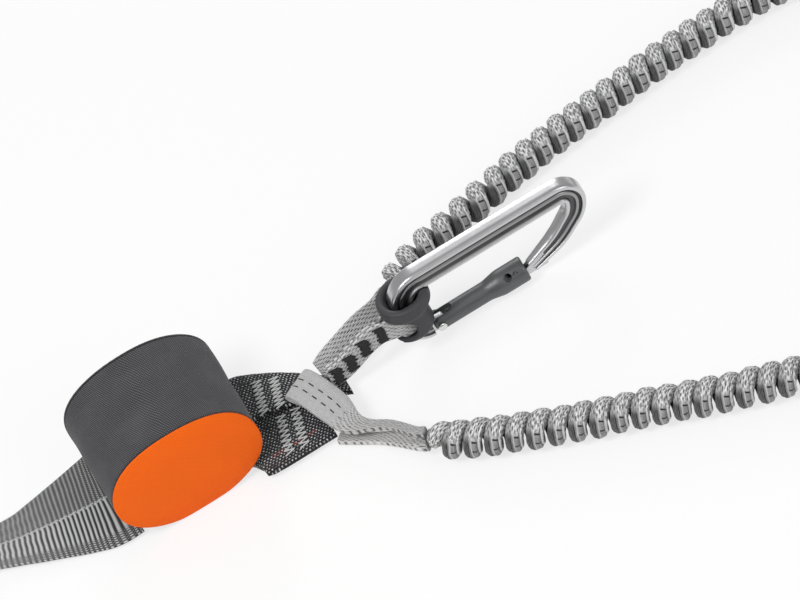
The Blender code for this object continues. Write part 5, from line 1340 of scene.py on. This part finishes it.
class LANYARD_OT_rest_arm(bpy.types.Operator):
    """The short arm: its doubled strap with four bartacks, the rubber keeper and the rest carabiner"""

    bl_idname = "lanyard.rest_arm"
    bl_label = "Rest arm"

    def execute(self, context):
        colours = context.scene.lanyard_colours
        placing = Matrix.Translation(REST_PIN) @ Matrix.Rotation(math.pi / 2, 4, "X")
        finishes = (satin_alloy(colours.alloy), dark_alloy(colours.gate), bright_steel())
        line = carabiner("rest", REST, placing, "rest_gate", finishes)
        turn = np.linspace(0, 2 * np.pi * 7, 7 * 20)
        along = 8.3 * MM + 12.9 * MM * turn / turn[-1]
        spring = np.column_stack([along, 1.65 * MM * np.cos(turn), 1.65 * MM * np.sin(turn)])
        mesh = moved(tube_mesh(spring, 0.35 * MM, 10, up=(1, 0.1, 0)), placing)
        finished("gate_spring", mesh, finishes[2], "rest_gate", replaces=["rest_gate_spring"])
        self.strap(REST_BAR_X, colours.webbing)
        self.keeper(REST_BAR_X, line, placing, moulded_rubber(colours.rubber))
        return {"FINISHED"}

    def strap(self, bar_x, colour):
        start, low, climb, thick, tall = REST_STRAP_START, 11.9 * MM, 7.6 * MM, 1.6 * MM, 12 * MM
        apart = (thick + GAP) / 2
        clear = 2 * GAP + thick / 2
        radius = 5.2 * MM + clear
        line = loop_line(start, bar_x, radius, 3.85 * MM + clear, apart)

        def level(x):
            share = np.clip((x - start - 2.5 * MM) / (25 * MM), 0, 1)
            return low + climb * share**2 * (3 - 2 * share)

        stations = [((x, REST_PIN[1] + y, level(x)), (0, 0, 1), tall, thick) for x, y in line]
        mesh = strap_mesh(stations, 0.5 * MM, 18, steps=4)
        cloth = flecked_webbing("short_arm", colour)
        finished("short_arm", mesh, cloth, replaces=["rest_arm_strap"])
        thread = sewing_thread("short_arm_thread", (0.012, 0.012, 0.013))
        run = bar_x - 2 * radius - start
        y = REST_PIN[1] - apart - thick / 2 - GAP
        for i, share in enumerate((0.132, 0.389, 0.668, 0.977)):
            x = start + run * share
            middle = float(level(x))
            corners = zigzag((x, y, middle - 4.6 * MM), (x, y, middle + 4.6 * MM), STITCH_WIDTH, 10, 0.22)
            name = f"short_arm_stitches_{i + 1}"
            mesh = tube_mesh(corners, 0.42 * MM, 8, up=(0, 1, 0), step=0.3 * MM)
            finished(name, mesh, thread, replaces=[f"rest_bartack_{i + 1}"])

    def keeper(self, bar_x, line, placing, rubber):
        """An oval cup round the strap's loop whose thick lip leans towards the gate round the frame's end."""
        middle = 19.5 * MM
        low, high = middle - 7.9 * MM, middle + 7.9 * MM
        wide, outer = 8.5 * MM, 10.4 * MM
        corners = [
            (0, high + 1.2 * MM),
            (7.4 * MM, high + 1.2 * MM),
            (8.6 * MM, high + 5.6 * MM),
            (12.1 * MM, high + 5.4 * MM),
            (12.3 * MM, high - 0.6 * MM),
            (outer, high - 2.2 * MM),
            (outer, low + 1.6 * MM),
            (outer * 0.84, low),
            (0, low),
        ]
        profile = rounded_profile(corners, 2.4 * MM)
        mesh = turned_mesh(refined(profile, 1 * MM), 72)
        places = np.empty(len(mesh.vertices) * 3)
        mesh.vertices.foreach_get("co", places)
        places = places.reshape(-1, 3)
        share = np.clip((places[:, 2] - (high - 5 * MM)) / (6 * MM), 0, 1)
        places[:, 0] += 2.0 * MM * share**2 * (3 - 2 * share)
        mesh.vertices.foreach_set("co", places.ravel())
        mesh.transform(Matrix.Translation((bar_x, REST_PIN[1], 0)))
        cavity = (middle - 6.3 * MM, middle + 6.3 * MM)
        flare, y, end = wide * 0.8, REST_PIN[1], bar_x - 5 * MM
        back = (bar_x - outer - 4 * MM, y - flare, cavity[0] - 1.2 * MM)
        mouth = block_mesh(back, (bar_x, y + flare, cavity[1] - GAP))
        hollow = rod_mesh((bar_x, y, cavity[0]), (bar_x, y, cavity[1]), wide, 48)
        bottom, top = cavity[0] + 0.2 * MM, cavity[1] - 0.2 * MM
        front = y - outer - 4 * MM
        window = block_mesh((bar_x - 15 * MM, front, bottom), (end, y, top))
        window_end = rod_mesh((end, front, middle), (end, y, middle), (top - bottom) / 2, 48)
        way = forged_mesh(line, PLAIN_SECTION, *REST["section"], REST["scales"], 0.5 * MM)
        mesh = carved(mesh, [mouth, hollow, window, window_end, moved(way, placing)])
        finished("rubber_keeper", mesh, rubber, sharp=EDGE_RUBBER, replaces=["rest_keeper"])


class LANYARD_OT_connectors(bpy.types.Operator):
    """The locking connectors past both elastic arms, with their palm levers, end straps and rubber bands"""

    bl_idname = "lanyard.connectors"
    bl_label = "Connectors"

    def execute(self, context):
        colours = context.scene.lanyard_colours
        finishes = (satin_alloy(colours.alloy), dark_alloy(colours.gate), bright_steel())
        rubber = moulded_rubber(colours.rubber)
        cloth = flecked_webbing("end_strap", colours.webbing)
        for name, route in (("upper", UPPER_ROUTE), ("lower", LOWER_ROUTE)):
            x, y = route[-1]
            pin = (x + LOCKER_SPAN + LOCKER_LENGTH * 0.18, y - LOCKER_WIDTH * 0.24, LOCKER_LEVEL)
            placing = Matrix.Translation(pin)
            carabiner(f"{name}_connector", LOCKER, placing, f"{name}_connector_gate", finishes)
            self.lever(f"{name}_connector", placing, rubber, finishes[2])
            self.end_strap(f"{name}_connector", x + GAP, y, cloth, rubber)
        return {"FINISHED"}

    def lever(self, prefix, placing, rubber, steel):
        """A palm lever along the spine on a forked pivot, with a ribbed grip."""
        corners, _ = forging_line(LOCKER)
        a, b = np.array(corners[2]), np.array(corners[3])
        along = unit(b - a)
        outward = np.array((-along[1], along[0]))
        pivot = np.array(lever_pivot(corners))
        inner, travel, thick, length = 6.9 * MM, 3.6 * MM, 6 * MM, 56 * MM

        def places(points):
            return [tuple(pivot - along * back + outward * out) for back, out in points]

        gap, half = inner + travel, 5.5 * MM
        bar = [(-thick * 0.6, inner), (-thick * 0.6, inner + thick * 0.4), (thick * 0.4, inner + thick)]
        bar += [(length * 0.5, gap + thick * 1.1), (length * 0.9, gap + thick * 0.8)]
        bar += [(length, gap + thick * 0.2)]
        bar += [(length * 0.98, gap), (length * 0.5, inner + travel * 0.6), (thick, inner)]
        mesh = plate_mesh(rounded_loop(places(bar), 3 * MM), -half, half, 1.2 * MM)
        fork = [(-thick * 0.75, inner + thick * 0.30), (-thick * 0.50, -thick * 0.3), (0, -thick * 0.6)]
        fork += [(thick * 0.50, -thick * 0.3), (thick * 1.2, inner + thick * 0.45)]
        fork += [(thick * 0.3, inner + thick * 0.75)]
        ears = half + 2.4 * MM
        arms = plate_mesh(rounded_loop(places(fork), 2 * MM), -ears, ears, 0.6 * MM)
        slot = [(-thick * 2, -thick * 2), (thick * 2, -thick * 2)]
        slot += [(thick * 2, inner * 0.98), (-thick * 2, inner * 0.98)]
        between = plate_mesh(places(slot), -half - 0.6 * MM, half + 0.6 * MM, 0.01 * MM)
        mesh = carved(mesh, [carved(arms, [between])], "UNION")
        grips = [(length * share, gap + thick * (1.35 - 0.25 * share)) for share in (0.5, 0.6, 0.7, 0.8)]
        holes = [drill(place, 1.0 * MM, 20) for place in places(grips)] + [drill(pivot, 1.7 * MM)]
        mesh = moved(carved(mesh, holes), placing)
        name, node = f"{prefix}_palm", f"{prefix}_lever"
        finished(name, mesh, rubber, node, EDGE_METAL, [node])
        reach = ears - 0.1 * MM
        pin = lathed_pin([(0, reach), (1.1 * MM, reach), (1.4 * MM, reach - 0.3 * MM)])
        pin.transform(placing @ Matrix.Translation((*pivot, 0)))
        finished(f"{prefix}_axle", pin, steel, ROOT, EDGE_METAL, [f"{prefix}_lever_pin"])

    def end_strap(self, prefix, x, y, cloth, rubber):
        """The doubled strap that holds a connector, in a square rubber band."""
        thick = 1.8 * MM
        clear = 2 * GAP + thick / 2
        line = loop_line(0, LOCKER_SPAN, 6 * MM + clear, 5.5 * MM + clear, (thick + GAP) / 2)
        stations = [((x + along, y, LOCKER_LEVEL + up), (0, 1, 0), 11 * MM, thick) for along, up in line]
        mesh = strap_mesh(stations, 0.6 * MM, 14, steps=4)
        finished(f"{prefix}_sling", mesh, cloth, replaces=[f"{prefix}_end_strap"])
        wide, tall, wall = 5.8 * MM, 2.4 * MM, 1.8 * MM
        outer = [(wide + wall, tall + wall), (-wide - wall, tall + wall)]
        outer += [(-a, -b) for a, b in outer]
        turn = Matrix(((0, 0, 1, 0), (1, 0, 0, 0), (0, 1, 0, 0), (0, 0, 0, 1)))
        centre = Matrix.Translation((x + LOCKER_SPAN * 0.28, y, LOCKER_LEVEL))
        band = plate_mesh(rounded_loop(outer, 2.2 * MM), -6 * MM, 6 * MM, 0.8 * MM)
        way = block_mesh((-FAR / 2, -wide, -tall), (FAR / 2, wide, tall))
        mesh = carved(moved(band, centre @ turn), [moved(way, centre)])
        name, node = f"{prefix}_band", f"{prefix}_keeper"
        finished(name, mesh, rubber, sharp=EDGE_RUBBER, replaces=[node])


class LANYARD_OT_elastic_arms(bpy.types.Operator):
    """The two curly arms, each one unbroken gathered sleeve wound round its route"""

    bl_idname = "lanyard.elastic_arms"
    bl_label = "Elastic arms"

    def execute(self, context):
        sizes, colours = context.scene.lanyard_sizes, context.scene.lanyard_colours
        curl = 2 * math.pi * sizes.coil_radius / MM
        finish = coil_fabric(colours.webbing, curl)
        for name, route, pitch, phase, lag, slim, roll in (
            ("upper", UPPER_ROUTE, sizes.upper_pitch, 0.590, STRETCH, 0.167, 0.05),
            ("lower", LOWER_ROUTE, sizes.lower_pitch, 0.813, ((0, 1), (0, 0)), 0, 0.50),
        ):
            self.arm(name, route, pitch, phase, lag, slim, roll, curl, finish, sizes)
        return {"FINISHED"}

    def arm(self, name, route, pitch, phase, lag, slim, roll, curl, finish, sizes):
        """A helix round the route, route + R * (cos a * up - sin a * side) with a growing by a turn each
        pitch, carrying a rounded section with a groove and a rib, rolled forward, whose skin has fine ridges.
        The lag in turns along the arm stretches it and then draws it together, and the slim share is taken
        off its radius at the start."""
        flat = np.array([(x, y, ARM_AXIS_HEIGHT) for x, y in route])
        flat[-1] += unit(flat[-1] - flat[-2]) * END_RUN
        step = pitch / sizes.coil_rows
        at, axis = evenly(catmull_rom(flat, 60), step)
        tangent = tangents_of(axis)
        ramp = np.clip((np.minimum(at, at[-1] - END_RUN - at) - END_STRAIGHT) / COIL_START, 0, 1)
        loss = sizes.coil_radius * slim * np.interp(at, SLIM_RUN, (0, 1, 1, 0))
        axis[:, 2] -= loss
        radius = (sizes.coil_radius - loss) * np.sin(np.pi / 2 * ramp)
        turns = (at - END_STRAIGHT) / pitch + phase + np.interp(at, *lag)
        radius = radius * (1 + 0.035 * np.sin(turns * 2.39) + 0.03 * np.sin(turns * 5.17 + 1))
        turns = turns + 0.012 * np.sin(turns * 3.31)
        up = np.array([0.0, 0.0, 1.0])
        side = np.cross(tangent, up)
        outward = np.cos(2 * np.pi * turns)[:, None] * up - np.sin(2 * np.pi * turns)[:, None] * side
        path = axis + radius[:, None] * outward
        run = tangents_of(path)
        outward = unit(outward - (outward * run).sum(-1, keepdims=True) * run)
        forward = np.cross(run, outward)
        forward *= np.sign((forward * tangent).sum(-1, keepdims=True) + 1e-9)
        angle = np.linspace(-np.pi, np.pi, sizes.coil_columns + 1)
        out, ahead = superellipse(angle, 1.0, 1.0, 2.2)
        a, t = angle[None, :] - roll, turns[:, None]

        def swell(middle, spread):
            return np.exp(-(((a - middle) / spread) ** 2))

        groove = -0.42 * swell(GROOVE_ANGLE, 0.12) + 0.20 * swell(RIB_ANGLE, 0.20)
        gathers = 0.10 * np.cos(9 * a + np.sin(4.1 * t)) + 0.09 * np.sin(5 * a + 13.3 * t) * np.cos(7.7 * t)
        ruffle = 0.10 * np.cos(2 * np.pi * 11.0 * t + 2.0 * np.sin(3 * a)) * swell(RUFFLE_ANGLE, 0.7)
        half = sizes.strand / 2 * 0.985 + (groove + gathers + ruffle) * MM
        spokes = (half * out)[..., None] * outward[:, None], (half * ahead)[..., None] * forward[:, None]
        points = path[:, None] + spokes[0] + spokes[1]
        cloth = cloth_grid(turns * curl * MM, np.broadcast_to((angle - roll) * sizes.strand / 2, half.shape))
        mesh = grid_mesh(points[:, :-1], cloth)
        piece = finished(f"{name}_coil", mesh, finish, replaces=[f"{name}_elastic_arm"])


OPERATORS = (
    LANYARD_OT_stage,
    LANYARD_OT_pouch,
    LANYARD_OT_zip,
    LANYARD_OT_harness_strap,
    LANYARD_OT_absorber_legs,
    LANYARD_OT_junction,
    LANYARD_OT_rest_arm,
    LANYARD_OT_connectors,
    LANYARD_OT_elastic_arms,
)


class LANYARD_PT_panel(bpy.types.Panel):
    """The lanyard's pieces, in the order in which they are built"""

    bl_label = "Lanyard"
    bl_space_type = "VIEW_3D"
    bl_region_type = "UI"
    bl_category = "Lanyard"

    def draw(self, context):
        for operator in OPERATORS:
            self.layout.operator(operator.bl_idname)


CLASSES = (Sizes, Colours, *OPERATORS, LANYARD_PT_panel)


def register():
    for cls in CLASSES:
        bpy.utils.register_class(cls)
    bpy.types.Scene.lanyard_sizes = PointerProperty(type=Sizes)
    bpy.types.Scene.lanyard_colours = PointerProperty(type=Colours)


def unregister():
    del bpy.types.Scene.lanyard_sizes
    del bpy.types.Scene.lanyard_colours
    for cls in reversed(CLASSES):
        bpy.utils.unregister_class(cls)


def main():
    register()
    for operator in OPERATORS:
        group, name = operator.bl_idname.split(".")
        getattr(getattr(bpy.ops, group), name)()


if __name__ == "__main__":
    main()
